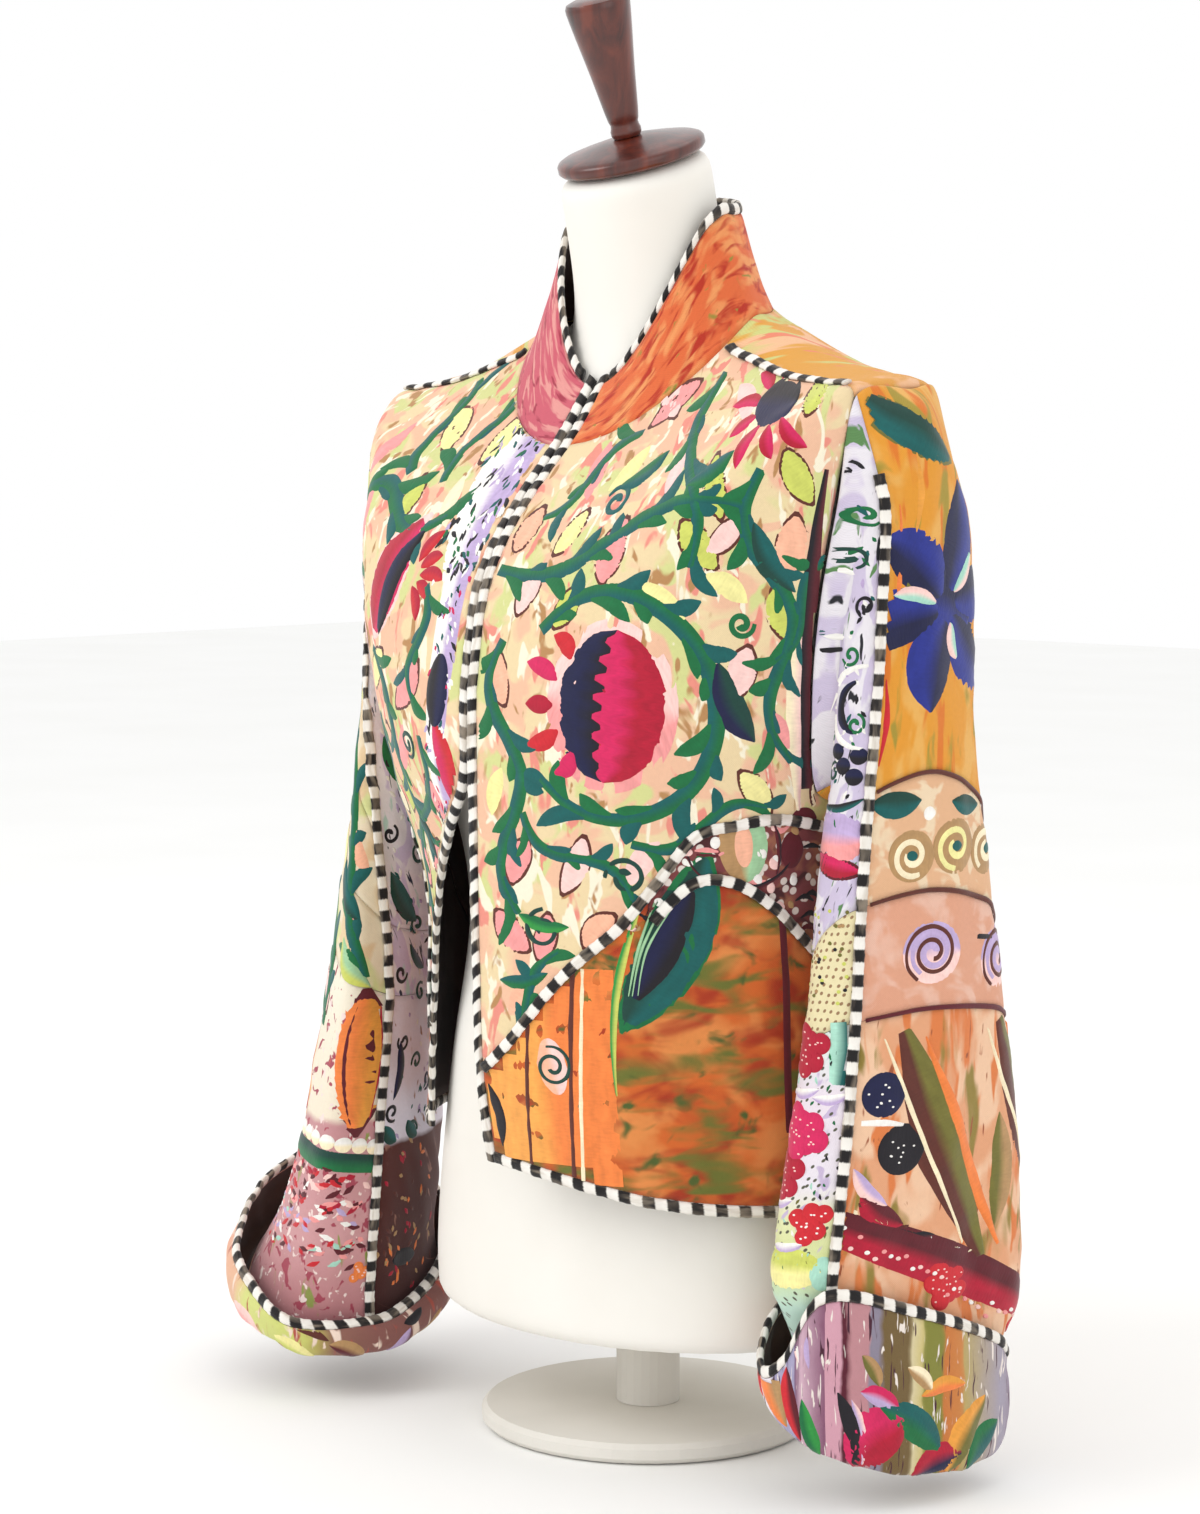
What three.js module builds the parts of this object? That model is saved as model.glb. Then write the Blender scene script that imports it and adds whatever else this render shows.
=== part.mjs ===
// A cropped patchwork jacket on a limbless dress form.
// Millimetres, +Z up, the front faces -Y and the wearer's left is +X.
// The origin is the middle of the stand's flat underside.
// Every cloth piece is a thin wall cut out of one ruled surface: the body's surface runs from the
// collar's edge down to the hem, and each sleeve's surface runs from its armhole to the turned-back cuff.
import * as THREE from "three";

// ---- driving dimensions ----
const shoulderHeight = 640; // the shoulder points above the floor; "rise" is measured from them
const clothThickness = 2.2; // quilted cotton, two layers
const seamGap = 0.3; // between neighbouring pieces
const lapLift = 2.7; // a sleeve's edge lies on the outside of the armhole's edge
const bindingWidth = 7; // striped binding round the free edges
const bindingThickness = 4.4;
const pipingWidth = 7; // striped piping along the seams
const pipingThickness = 1.8;
const pipingSeat = 0.6; // clearance under the piping
const extraSeat = 0.45; // more of it where the cloth is strongly curved
const pipingSetback = 2; // the piping stops short of the seams that cross it
const bindingGap = 0.45; // between a free edge and its binding

// ---- the body's level rings, from the collar's edge to the hem ----
// frontRise, sideRise, backRise: height at centre front, side and centre back
// dip: how sharply the height changes from the side to the front and back
// left, right: half widths; frontLeft, frontRight, back: depths before and behind the side line
// openLeft, openRight: the front edges' distance from the centre plane
// armhole: half of the armhole's reach round the side, degrees; tilt: the hem hangs lower on the left
const bodyRings = [
  // collar's edge
  {
    frontRise: 9, sideRise: 112, backRise: 120, dip: 1.8, left: 60, right: 60, frontLeft: 50,
    frontRight: 50, back: 50, openLeft: 7.8, openRight: 7.8, armhole: 15, tilt: 0, square: 2,
  },
  // collar's middle
  {
    frontRise: -9, sideRise: 82, backRise: 92, dip: 1.4, left: 69, right: 69, frontLeft: 64,
    frontRight: 64, back: 56, openLeft: 7.8, openRight: 7.8, armhole: 15, tilt: 0, square: 2,
  },
  // neck seam
  {
    frontRise: -27, sideRise: 50, backRise: 62, dip: 1.15, left: 84, right: 84, frontLeft: 80,
    frontRight: 80, back: 64, openLeft: 7.8, openRight: 7.8, armhole: 15, tilt: 0, square: 2,
  },
  // yoke
  {
    frontRise: -64, sideRise: 22, backRise: 22, dip: 1.6, left: 147, right: 140, frontLeft: 118,
    frontRight: 116, back: 88, openLeft: 7.8, openRight: 7.8, armhole: 15, tilt: 0, square: 2.2,
  },
  // shoulder points
  {
    frontRise: -100, sideRise: 5, backRise: -45, dip: 2, left: 200, right: 184, frontLeft: 144,
    frontRight: 142, back: 104, openLeft: 7.8, openRight: 7.8, armhole: 13, tilt: 0,
    square: 2.4,
  },
  // armhole, high
  {
    frontRise: -138, sideRise: -55, backRise: -95, dip: 2, left: 196, right: 182,
    frontLeft: 156, frontRight: 154, back: 108, openLeft: 7.8, openRight: 7.8, armhole: 16,
    tilt: 0, square: 2.4,
  },
  // armhole, middle
  {
    frontRise: -176, sideRise: -118, backRise: -145, dip: 2, left: 188, right: 174,
    frontLeft: 160, frontRight: 158, back: 108, openLeft: 7.8, openRight: 7.8, armhole: 18,
    tilt: 0, square: 2.3,
  },
  // armhole, low
  {
    frontRise: -214, sideRise: -178, backRise: -195, dip: 2, left: 178, right: 164,
    frontLeft: 160, frontRight: 156, back: 104, openLeft: 7.8, openRight: 8.5, armhole: 17,
    tilt: 0, square: 2.2,
  },
  // underarm
  {
    frontRise: -252, sideRise: -235, backRise: -240, dip: 2, left: 166, right: 156,
    frontLeft: 160, frontRight: 142, back: 100, openLeft: 7.8, openRight: 40, armhole: 12,
    tilt: 0, square: 2.1,
  },
  // waist
  {
    frontRise: -320, sideRise: -312, backRise: -310, dip: 2, left: 158, right: 148,
    frontLeft: 158, frontRight: 122, back: 96, openLeft: 7.8, openRight: 88, armhole: 11,
    tilt: -4, square: 2,
  },
  // hip
  {
    frontRise: -388, sideRise: -386, backRise: -385, dip: 3, left: 160, right: 150,
    frontLeft: 156, frontRight: 120, back: 104, openLeft: 7.8, openRight: 104, armhole: 11,
    tilt: -10, square: 2,
  },
  // hem
  {
    frontRise: -446, sideRise: -460, backRise: -455, dip: 5, left: 165, right: 154,
    frontLeft: 146, frontRight: 120, back: 114, openLeft: 7.8, openRight: 106, armhole: 11,
    tilt: -14, square: 2,
  },
];
const level = { collarEdge: 0, neck: 2, yoke: 3, shoulder: 4, underarm: 8, hem: 11 };

// The slanting seams of the fronts: height at each share of the way from the front edge to the side.
const slantSeam = [
  { share: 0, rise: -396 }, { share: 0.1, rise: -378 }, { share: 0.28, rise: -333 },
  { share: 0.4, rise: -312 },
  { share: 0.49, rise: -293 }, { share: 0.58, rise: -257 }, { share: 0.7, rise: -247 },
  { share: 0.85, rise: -242 },
  { share: 1, rise: -248 }, { share: 1.2, rise: -256 },
];
const patchSeam = [
  { share: 0, rise: -424 }, { share: 0.16, rise: -406 }, { share: 0.36, rise: -346 },
  { share: 0.49, rise: -310 },
  { share: 0.62, rise: -280 }, { share: 0.8, rise: -280 }, { share: 0.92, rise: -306 },
  { share: 1, rise: -322 },
  { share: 1.2, rise: -345 },
];
const patchStart = 5; // the front column where the patch begins

// Soft hanging folds of the body: each stands out (or sinks) by its depth round its turn and rise.
const bodyFolds = [
  { hand: 1, turn: 52, rise: -90, spread: 9, height: 60, depth: -5 }, // hollow before the left armhole
  { hand: -1, turn: 52, rise: -90, spread: 9, height: 60, depth: -5 },
  { hand: 1, turn: 30, rise: -380, spread: 10, height: 90, depth: 5 }, // flare over the left hip
  { hand: 1, turn: 58, rise: -420, spread: 10, height: 80, depth: -4 },
  { hand: 1, turn: 135, rise: -400, spread: 12, height: 100, depth: 7 }, // back flutes
  { hand: -1, turn: 135, rise: -400, spread: 12, height: 100, depth: 7 },
  { hand: 1, turn: 158, rise: -410, spread: 9, height: 90, depth: -5 },
  { hand: -1, turn: 158, rise: -410, spread: 9, height: 90, depth: -5 },
];

// ---- the sleeves' rings, from the shoulder to the cuff's fold ----
// outer, outerRise and inner, innerRise: the ring's outermost and innermost points, seen from the front
// middle: y of the ring's middle; reach: half of its front-to-back size
// turn: the front edge turned inwards, degrees; frontDrop: how much lower the front hangs
// twist: how far the seams have wound round the sleeve, degrees
const sleeveRings = {
  left: [
    { outer: 217, outerRise: -6, inner: 177, innerRise: -243, middle: -4, reach: 49,
      turn: 2, frontDrop: 0, twist: 0 },
    { outer: 225, outerRise: -34, inner: 178, innerRise: -252, middle: -3, reach: 50,
      turn: 4, frontDrop: 0, twist: 0 },
    { outer: 226, outerRise: -84, inner: 178, innerRise: -264, middle: -3, reach: 50,
      turn: 7, frontDrop: 0, twist: 0 },
    { outer: 226, outerRise: -148, inner: 177, innerRise: -282, middle: -4, reach: 50,
      turn: 10, frontDrop: 0, twist: 0 },
    { outer: 229, outerRise: -214, inner: 177, innerRise: -306, middle: -6, reach: 54,
      turn: 14, frontDrop: 0, twist: 0 },
    { outer: 234, outerRise: -282, inner: 178, innerRise: -342, middle: -8, reach: 61,
      turn: 17, frontDrop: 0, twist: 0 },
    { outer: 238, outerRise: -350, inner: 178, innerRise: -386, middle: -9, reach: 65,
      turn: 20, frontDrop: 2, twist: 0 },
    { outer: 241, outerRise: -410, inner: 177, innerRise: -430, middle: -11, reach: 72,
      turn: 20, frontDrop: 3, twist: 0 },
    { outer: 241, outerRise: -466, inner: 177, innerRise: -474, middle: -12, reach: 79,
      turn: 20, frontDrop: 0, twist: 0 },
    { outer: 238, outerRise: -520, inner: 178, innerRise: -512, middle: -13, reach: 82,
      turn: 20, frontDrop: -6, twist: 0 },
    { outer: 233, outerRise: -568, inner: 180, innerRise: -542, middle: -14, reach: 67,
      turn: 20, frontDrop: -10, twist: 0 },
    { outer: 231, outerRise: -612, inner: 178, innerRise: -560, middle: -20, reach: 69,
      turn: 20, frontDrop: -12, twist: 0 },
  ],
  right: [
    { outer: 198, outerRise: -6, inner: 165, innerRise: -243, middle: -6, reach: 50,
      turn: 2, frontDrop: 0, twist: 0 },
    { outer: 204, outerRise: -34, inner: 166, innerRise: -252, middle: -8, reach: 52,
      turn: 5, frontDrop: 0, twist: 8 },
    { outer: 205, outerRise: -84, inner: 166, innerRise: -264, middle: -12, reach: 54,
      turn: 8, frontDrop: 0, twist: 22 },
    { outer: 205, outerRise: -148, inner: 165, innerRise: -282, middle: -18, reach: 57,
      turn: 12, frontDrop: 0, twist: 42 },
    { outer: 206, outerRise: -214, inner: 164, innerRise: -306, middle: -26, reach: 60,
      turn: 15, frontDrop: 0, twist: 64 },
    { outer: 210, outerRise: -282, inner: 164, innerRise: -342, middle: -33, reach: 64,
      turn: 18, frontDrop: 0, twist: 82 },
    { outer: 216, outerRise: -346, inner: 164, innerRise: -382, middle: -38, reach: 66,
      turn: 20, frontDrop: 2, twist: 90 },
    { outer: 224, outerRise: -404, inner: 166, innerRise: -428, middle: -42, reach: 68,
      turn: 20, frontDrop: 6, twist: 92 },
    { outer: 236, outerRise: -454, inner: 168, innerRise: -476, middle: -44, reach: 71,
      turn: 20, frontDrop: 10, twist: 92 },
    { outer: 252, outerRise: -496, inner: 171, innerRise: -524, middle: -44, reach: 74,
      turn: 20, frontDrop: 16, twist: 92 },
    { outer: 271, outerRise: -530, inner: 176, innerRise: -562, middle: -44, reach: 70,
      turn: 20, frontDrop: 22, twist: 92 },
    { outer: 289, outerRise: -556, inner: 172, innerRise: -588, middle: -46, reach: 72,
      turn: 20, frontDrop: 28, twist: 92 },
  ],
};

// The turned-back cuffs, from the fold up to the free edge: how far each row stands outside the sleeve's
// last ring sideways and front to back, its height there, and its share of the free edge's height.
const cuffRows = {
  left: [
    { wider: 0, deeper: 0, up: -2.5, share: 0 },
    { wider: 5, deeper: 5, up: -9, share: 0 },
    { wider: 11, deeper: 10, up: -5, share: 0 },
    { wider: 12, deeper: 12, up: -1, share: 0.35 },
    { wider: 12, deeper: 12, up: 0, share: 0.7 },
    { wider: 12, deeper: 12, up: 0, share: 1 },
  ],
  right: [
    { wider: 0, deeper: 0, up: -2.5, share: 0 },
    { wider: 7, deeper: 6, up: -9, share: 0 },
    { wider: 14, deeper: 12, up: -5, share: 0 },
    { wider: 14, deeper: 15, up: 0, share: 0.5 },
    { wider: 8, deeper: 15, up: 0, share: 1 },
  ],
};

// The free edge's height over the sleeve's last ring, at each column of the sleeve from its piping round
// the outside and back. The left cuff is cut down to its fold at the front.
const cuffEdge = {
  left: [80, 83, 61, 39, 24, 23, 27, 31, 27, 16, 9, 30],
  right: [9, 9, 16, 22, 27, 30, 30, 26, 20, 16, 12, 9],
};

// ---- the dress form's rings, from the neck cap's seat to the flat bottom ----
// frontRise, sideRise, backRise as above; half: half width
// chest, spine: depths before and behind; shift: y of the ring's middle
const formRings = [
  { frontRise: 130, sideRise: 146, backRise: 162,
    half: 46, chest: 46, spine: 46, shift: -15, square: 2 },
  { frontRise: 96, sideRise: 108, backRise: 120,
    half: 48, chest: 44, spine: 45, shift: -6, square: 2 },
  { frontRise: 26, sideRise: 64, backRise: 76,
    half: 52, chest: 38, spine: 45, shift: 0, square: 2 },
  { frontRise: -29, sideRise: 42, backRise: 54,
    half: 79, chest: 70, spine: 58, shift: 0, square: 2 },
  { frontRise: -66, sideRise: 19.4, backRise: 18,
    half: 140, chest: 111, spine: 84, shift: 0, square: 2.2 },
  { frontRise: -104, sideRise: -3, backRise: -48,
    half: 172, chest: 134, spine: 98, shift: 0, square: 2.3 },
  { frontRise: -138, sideRise: -55, backRise: -95,
    half: 172, chest: 146, spine: 101, shift: 0, square: 2.3 },
  { frontRise: -176, sideRise: -120, backRise: -145,
    half: 160, chest: 150, spine: 100, shift: 0, square: 2.2 },
  { frontRise: -214, sideRise: -180, backRise: -195,
    half: 146, chest: 142, spine: 94, shift: 0, square: 2.1 },
  { frontRise: -256, sideRise: -240, backRise: -245,
    half: 132, chest: 112, spine: 84, shift: 0, square: 2 },
  { frontRise: -320, sideRise: -315, backRise: -315,
    half: 122, chest: 98, spine: 78, shift: 0, square: 2 },
  { frontRise: -390, sideRise: -390, backRise: -390,
    half: 136, chest: 103, spine: 92, shift: 0, square: 2 },
  { frontRise: -455, sideRise: -455, backRise: -455,
    half: 145, chest: 108, spine: 104, shift: 0, square: 2 },
  { frontRise: -530, sideRise: -530, backRise: -530,
    half: 152, chest: 112, spine: 106, shift: 0, square: 2 },
  { frontRise: -572, sideRise: -572, backRise: -572,
    half: 150, chest: 110, spine: 104, shift: 0, square: 2 },
];

// The neck's cut top and its cap lean forwards.
const capTilt = Math.atan((formRings[0].sideRise - formRings[0].frontRise) / formRings[0].chest);

// The neck cap and its handle, turned in one lathe: radius and height above the neck's cut top.
const capProfile = [
  { radius: 0, height: 0.3 }, { radius: 42, height: 0.3 }, { radius: 46, height: 3 },
  { radius: 46, height: 7 },
  { radius: 42, height: 10 }, { radius: 30, height: 12.5 }, { radius: 15, height: 15.5 },
  { radius: 0, height: 16 },
];
const handleProfile = [
  { radius: 0, height: 16.3 }, { radius: 8.5, height: 16.3 }, { radius: 9.5, height: 20 },
  { radius: 8.5, height: 24 }, { radius: 10, height: 27 }, { radius: 13.5, height: 55 },
  { radius: 17.5, height: 80 },
  { radius: 20, height: 98 }, { radius: 19, height: 101 }, { radius: 0, height: 102.5 },
];

// The stand: a straight pole on a flat round base.
const poleRadius = 20;
const baseRadius = 105;
const baseThickness = 12;
const baseRounding = 3;

// ---- colours ----
const colour = {
  cream: 0xe9d3b0, amber: 0xd98a35, orange: 0xdd7b3a, coral: 0xd9713f, rose: 0xd2707c, maroon: 0x7a3038,
  lavender: 0xd9cfe0, peach: 0xdda684, mauve: 0xa8848e, stripe: 0x55505a, form: 0xf2efe8, wood: 0x4b170d,
};

// ---- small helpers ----
const radians = (degrees) => (degrees * Math.PI) / 180;
const group = new THREE.Group();

function addMesh(name, geometry, hex, roughness = 0.9, metalness = 0) {
  const material = new THREE.MeshStandardMaterial({ color: hex, roughness, metalness });
  const mesh = new THREE.Mesh(geometry, material);
  mesh.name = name;
  group.add(mesh);
  return mesh;
}

function geometryOf(points, triangles) {
  const geometry = new THREE.BufferGeometry();
  const position = new Float32Array(points.flatMap((p) => [p.x, p.y, p.z]));
  geometry.setAttribute("position", new THREE.BufferAttribute(position, 3));
  geometry.setIndex(triangles);
  geometry.computeVertexNormals();
  return geometry;
}

// Every column of a table between its rows, on a smooth curve through them.
function rowAt(rows, place) {
  const last = rows.length - 1;
  const start = Math.min(Math.max(Math.floor(place), 0), last - 1);
  const t = place - start;
  const row = (i) => rows[Math.min(Math.max(i, 0), last)];
  const [a, b, c, d] = [row(start - 1), row(start), row(start + 1), row(start + 2)];
  const result = {};
  for (const key of Object.keys(b)) {
    const slopeB = (c[key] - a[key]) / 2;
    const slopeC = (d[key] - b[key]) / 2;
    result[key] =
      b[key] * (1 - 3 * t * t + 2 * t ** 3) +
      c[key] * (3 * t * t - 2 * t ** 3) +
      slopeB * (t - 2 * t * t + t ** 3) +
      slopeC * (t ** 3 - t * t);
  }
  return result;
}

// The height of a seam at a share of the way across.
function seamRise(rows, share) {
  const found = rows.findIndex((row) => row.share >= share);
  const i = found < 0 ? rows.length - 1 : Math.max(found, 1);
  const [a, b] = [rows[i - 1], rows[i]];
  const part = Math.min((share - a.share) / (b.share - a.share), 1);
  return a.rise + (b.rise - a.rise) * part;
}

// A point of a level ring: turn 0 is centre front and 180 centre back.
// hand is 1 on the wearer's left and -1 on the right.
function ringPoint(ring, turn, hand, half, front, back) {
  const isFront = turn < 90;
  const sine = Math.abs(Math.sin(radians(turn)));
  const cosine = Math.abs(Math.cos(radians(turn)));
  const x = half * sine ** (2 / ring.square);
  const y = (isFront ? -front : back) * cosine ** (2 / ring.square);
  const endRise = isFront ? ring.frontRise : ring.backRise;
  const rise = ring.sideRise + (endRise - ring.sideRise) * cosine ** (ring.dip ?? 1);
  const lean = ((ring.tilt ?? 0) * hand * x) / half;
  return new THREE.Vector3(hand * x, (ring.shift ?? 0) + y, shoulderHeight + rise + lean);
}

function bodyPoint(place, turn, hand) {
  const ring = rowAt(bodyRings, place);
  const half = hand > 0 ? ring.left : ring.right;
  const front = hand > 0 ? ring.frontLeft : ring.frontRight;
  const point = ringPoint(ring, turn, hand, half, front, ring.back);
  const rise = point.z - shoulderHeight;
  let out = 0;
  for (const fold of bodyFolds) {
    const across = (turn - fold.turn) / fold.spread;
    const along = (rise - fold.rise) / fold.height;
    if (fold.hand === hand) out += fold.depth * Math.exp(-across * across - along * along);
  }
  const sideways = new THREE.Vector3(point.x, point.y, 0).normalize();
  return point.addScaledVector(sideways, out);
}

// ---- the body's grid: columns run from the left front edge round the back to the right front edge ----
const frontShares = [0, 0.11, 0.22, 0.33, 0.42, 0.51, 0.63, 0.75, 0.88, 1];
const frontColumns = frontShares.length - 1;
const sideColumns = 2;
const backColumns = 8;
const halfColumns = frontColumns + sideColumns + backColumns;
const columnCount = 2 * halfColumns;
const sideSeam = frontColumns + 1;
const sideStep = 0.2; // the side seam's share beyond the front

const gridRow = { collarEdge: 0, neck: 2, shoulder: 6, underarm: 10, slant: 11, patchEnd: 13, hem: 15 };
const sideLevels = [0, 1, 2, 2.5, 3, 3.5, 4, 5, 6, 7, 8, 8.3, 8.85, 9.45, 10.2, 11];

// The turn of column i at a level. The front edge's turn comes from its distance to the centre plane.
function columnTurn(i, place, hand) {
  const ring = rowAt(bodyRings, place);
  const back = i - frontColumns - sideColumns;
  if (back > 0) return 90 + ring.armhole + ((90 - ring.armhole) * back) / backColumns;
  if (i >= frontColumns) return 90 + (ring.armhole * (i - sideSeam)) / (sideColumns / 2);
  const open = hand > 0 ? ring.openLeft : ring.openRight;
  const half = hand > 0 ? ring.left : ring.right;
  const start = THREE.MathUtils.radToDeg(Math.asin((open / half) ** (ring.square / 2)));
  return start + (90 - ring.armhole - start) * frontShares[i];
}

// The level at which column i reaches a given height.
function levelOfRise(i, hand, rise) {
  const halvings = 40;
  let [low, high] = [level.neck, level.hem];
  for (let step = 0; step < halvings; step++) {
    const middle = (low + high) / 2;
    if (bodyPoint(middle, columnTurn(i, middle, hand), hand).z - shoulderHeight > rise) low = middle;
    else high = middle;
  }
  return (low + high) / 2;
}

// The turn and level of a grid vertex: rows below the neck keep their share of the way between the
// neck, the slanting seam, the patch's seam and the hem.
function gridPlace(column, row) {
  const hand = column <= halfColumns ? 1 : -1;
  const i = hand > 0 ? column : columnCount - column;
  const ownLevel = sideLevels[row];
  if (row <= gridRow.neck) return { hand, turn: columnTurn(i, ownLevel, hand), place: ownLevel };
  const share = i < frontColumns ? frontShares[i] : 1 + Math.min(i - frontColumns, 1) * sideStep;
  const seams = [slantSeam, patchSeam].map((seam) => levelOfRise(i, hand, seamRise(seam, share)));
  const marks = [level.neck, ...seams, level.hem];
  const even = [level.neck, sideLevels[gridRow.slant], sideLevels[gridRow.patchEnd], level.hem];
  const part = row < gridRow.slant ? 0 : row < gridRow.patchEnd ? 1 : 2;
  const along = (sideLevels[row] - even[part]) / (even[part + 1] - even[part]);
  const place = marks[part] + (marks[part + 1] - marks[part]) * along;
  return { hand, turn: columnTurn(i, place, hand), place };
}

// A grid of surface points with their outward normals.
function surfaceGrid(columns, rows, pointAt, closed, flip) {
  const points = [];
  for (let r = 0; r <= rows; r++) points.push(Array.from({ length: columns + 1 }, (_, c) => pointAt(c, r)));
  const normals = points.map((line, r) =>
    line.map((_, c) => {
      const before = closed ? (c - 1 + columns) % columns : Math.max(c - 1, 0);
      const after = closed ? (c + 1) % columns : Math.min(c + 1, columns);
      const along = points[Math.min(r + 1, rows)][c].clone().sub(points[Math.max(r - 1, 0)][c]);
      const across = line[after].clone().sub(line[before]);
      return across.cross(along).normalize().multiplyScalar(flip);
    }),
  );
  return { columns, rows, points, normals, closed };
}

const bodyGrid = surfaceGrid(
  columnCount,
  sideLevels.length - 1,
  (column, row) => {
    const { hand, turn, place } = gridPlace(column, row);
    return bodyPoint(place, turn, hand);
  },
  false,
  -1,
);

// A closed wall over a set of a grid's cells. Its edges stand back by half a seam gap.
function wallOver(grid, cells, thickness = clothThickness) {
  const key = (c, r) => `${grid.closed ? c % grid.columns : c},${r}`;
  const faces = cells.map(([c, r]) => [[c, r], [c, r + 1], [c + 1, r + 1], [c + 1, r]]);
  const edges = new Map();
  for (const face of faces)
    face.forEach((from, k) => {
      const to = face[(k + 1) % face.length];
      const back = `${key(...to)}>${key(...from)}`;
      if (edges.has(back)) edges.delete(back);
      else edges.set(`${key(...from)}>${key(...to)}`, [from, to]);
    });
  const at = (c, r) => grid.points[r][grid.closed ? c % grid.columns : c];
  const normalAt = (c, r) => grid.normals[r][grid.closed ? c % grid.columns : c];
  const standBack = new Map();
  for (const [from, to] of edges.values()) {
    const along = at(...to).clone().sub(at(...from)).normalize();
    for (const end of [from, to]) {
      const inward = normalAt(...end).clone().cross(along).normalize();
      const sum = standBack.get(key(...end)) ?? [];
      standBack.set(key(...end), [...sum, inward]);
    }
  }
  const points = [];
  const places = new Map();
  const [corner, below, , beside] = faces[0].map((place) => at(...place));
  const faceNormal = below.clone().sub(corner).cross(beside.clone().sub(corner));
  const faceSide = Math.sign(normalAt(...faces[0][0]).dot(faceNormal));
  const place = (c, r) => {
    const name = key(c, r);
    if (places.has(name)) return places.get(name);
    const inwards = standBack.get(name) ?? [];
    const shift = new THREE.Vector3();
    inwards.forEach((v) => shift.addScaledVector(v, faceSide));
    if (inwards.length) {
      const middle = shift.normalize();
      const lean = Math.max(Math.abs(middle.dot(inwards[0])), 0.5);
      shift.multiplyScalar(seamGap / 2 / lean);
    }
    const base = at(c, r).clone().add(shift);
    const normal = normalAt(c, r);
    const index = points.length;
    points.push(base.clone().addScaledVector(normal, thickness / 2));
    points.push(base.clone().addScaledVector(normal, -thickness / 2));
    places.set(name, index);
    return index;
  };
  const triangles = [];
  const quad = (a, b, c, d) => {
    if (faceSide > 0) triangles.push(a, b, c, a, c, d);
    else triangles.push(a, c, b, a, d, c);
  };
  for (const face of faces) {
    const [a, b, c, d] = face.map((corner) => place(...corner));
    quad(a, b, c, d);
    quad(d + 1, c + 1, b + 1, a + 1);
  }
  // Both walls at a seam split its side faces along the same diagonal.
  const order = ([c, r]) => r * (grid.columns + 1) + (grid.closed ? c % grid.columns : c);
  for (const [from, to] of edges.values()) {
    const [a, b] = [place(...from), place(...to)];
    if (order(from) < order(to)) quad(b, a, a + 1, b + 1);
    else quad(a, a + 1, b + 1, b);
  }
  return geometryOf(points, triangles);
}

// All cells of the given columns and rows, both ends included.
function cellBlock(firstColumn, lastColumn, firstRow, lastRow) {
  const cells = [];
  for (let r = firstRow; r <= lastRow; r++) {
    for (let c = firstColumn; c <= lastColumn; c++) cells.push([c, r]);
  }
  return cells;
}

// A bar that follows a line of sections, each a list of corner points; ends are closed.
function barAlong(sections, loop = false) {
  const size = sections[0].length;
  const points = sections.flat();
  const triangles = [];
  const count = loop ? sections.length : sections.length - 1;
  for (let s = 0; s < count; s++) {
    const [here, next] = [s * size, ((s + 1) % sections.length) * size];
    for (let k = 0; k < size; k++) {
      const after = (k + 1) % size;
      triangles.push(here + k, here + after, next + after, here + k, next + after, next + k);
    }
  }
  if (!loop) {
    const end = (sections.length - 1) * size;
    for (let k = 1; k < size - 1; k++) {
      triangles.push(0, k + 1, k);
      triangles.push(end, end + k, end + k + 1);
    }
  }
  return closedGeometry(points, triangles);
}

function volumeOf(points, triangles) {
  let sum = 0;
  for (let i = 0; i < triangles.length; i += 3) {
    const [a, b, c] = [points[triangles[i]], points[triangles[i + 1]], points[triangles[i + 2]]];
    sum += a.dot(b.clone().cross(c)) / 6;
  }
  return sum;
}

// The same triangles, all turned to face out.
function closedGeometry(points, triangles) {
  if (volumeOf(points, triangles) > 0) return geometryOf(points, triangles);
  const reversed = triangles.map((_, i) => triangles[i - (i % 3) + [0, 2, 1][i % 3]]);
  return geometryOf(points, reversed);
}

// Piping along a seam: it lies on the wall's points, moved out, and dips over the ridge between them.
function pipingOn(grid, path, step, seat = pipingSeat) {
  const sections = path.map(([c, r]) => {
    const pick = (cc, rr) => grid.points[rr][grid.closed ? (cc + grid.columns) % grid.columns : cc];
    const middle = pick(c, r);
    const normal = grid.normals[r][grid.closed ? (c + grid.columns) % grid.columns : c];
    const sides = [1, -1].map((sign) => {
      const [nc, nr] = [c + sign * step[0], r + sign * step[1]];
      return pick(nc, nr).clone().sub(middle).setLength(pipingWidth / 2);
    });
    const low = clothThickness / 2 + seat;
    const [one, two] = sides.map((side) => middle.clone().add(side));
    return [
      one.clone().addScaledVector(normal, low),
      middle.clone().addScaledVector(normal, low),
      two.clone().addScaledVector(normal, low),
      two.clone().addScaledVector(normal, low + pipingThickness * 0.6),
      middle.clone().addScaledVector(normal, low + pipingThickness),
      one.clone().addScaledVector(normal, low + pipingThickness * 0.6),
    ];
  });
  return sections;
}

// Draws the first or last section of a bar back (or on) along the bar.
function moveEnd(sections, atStart, distance) {
  const [end, next] = atStart ? [0, 1] : [sections.length - 1, sections.length - 2];
  const along = sections[next][0].clone().sub(sections[end][0]).normalize().multiplyScalar(distance);
  sections[end] = sections[end].map((p) => p.clone().add(along));
  return sections;
}

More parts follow.
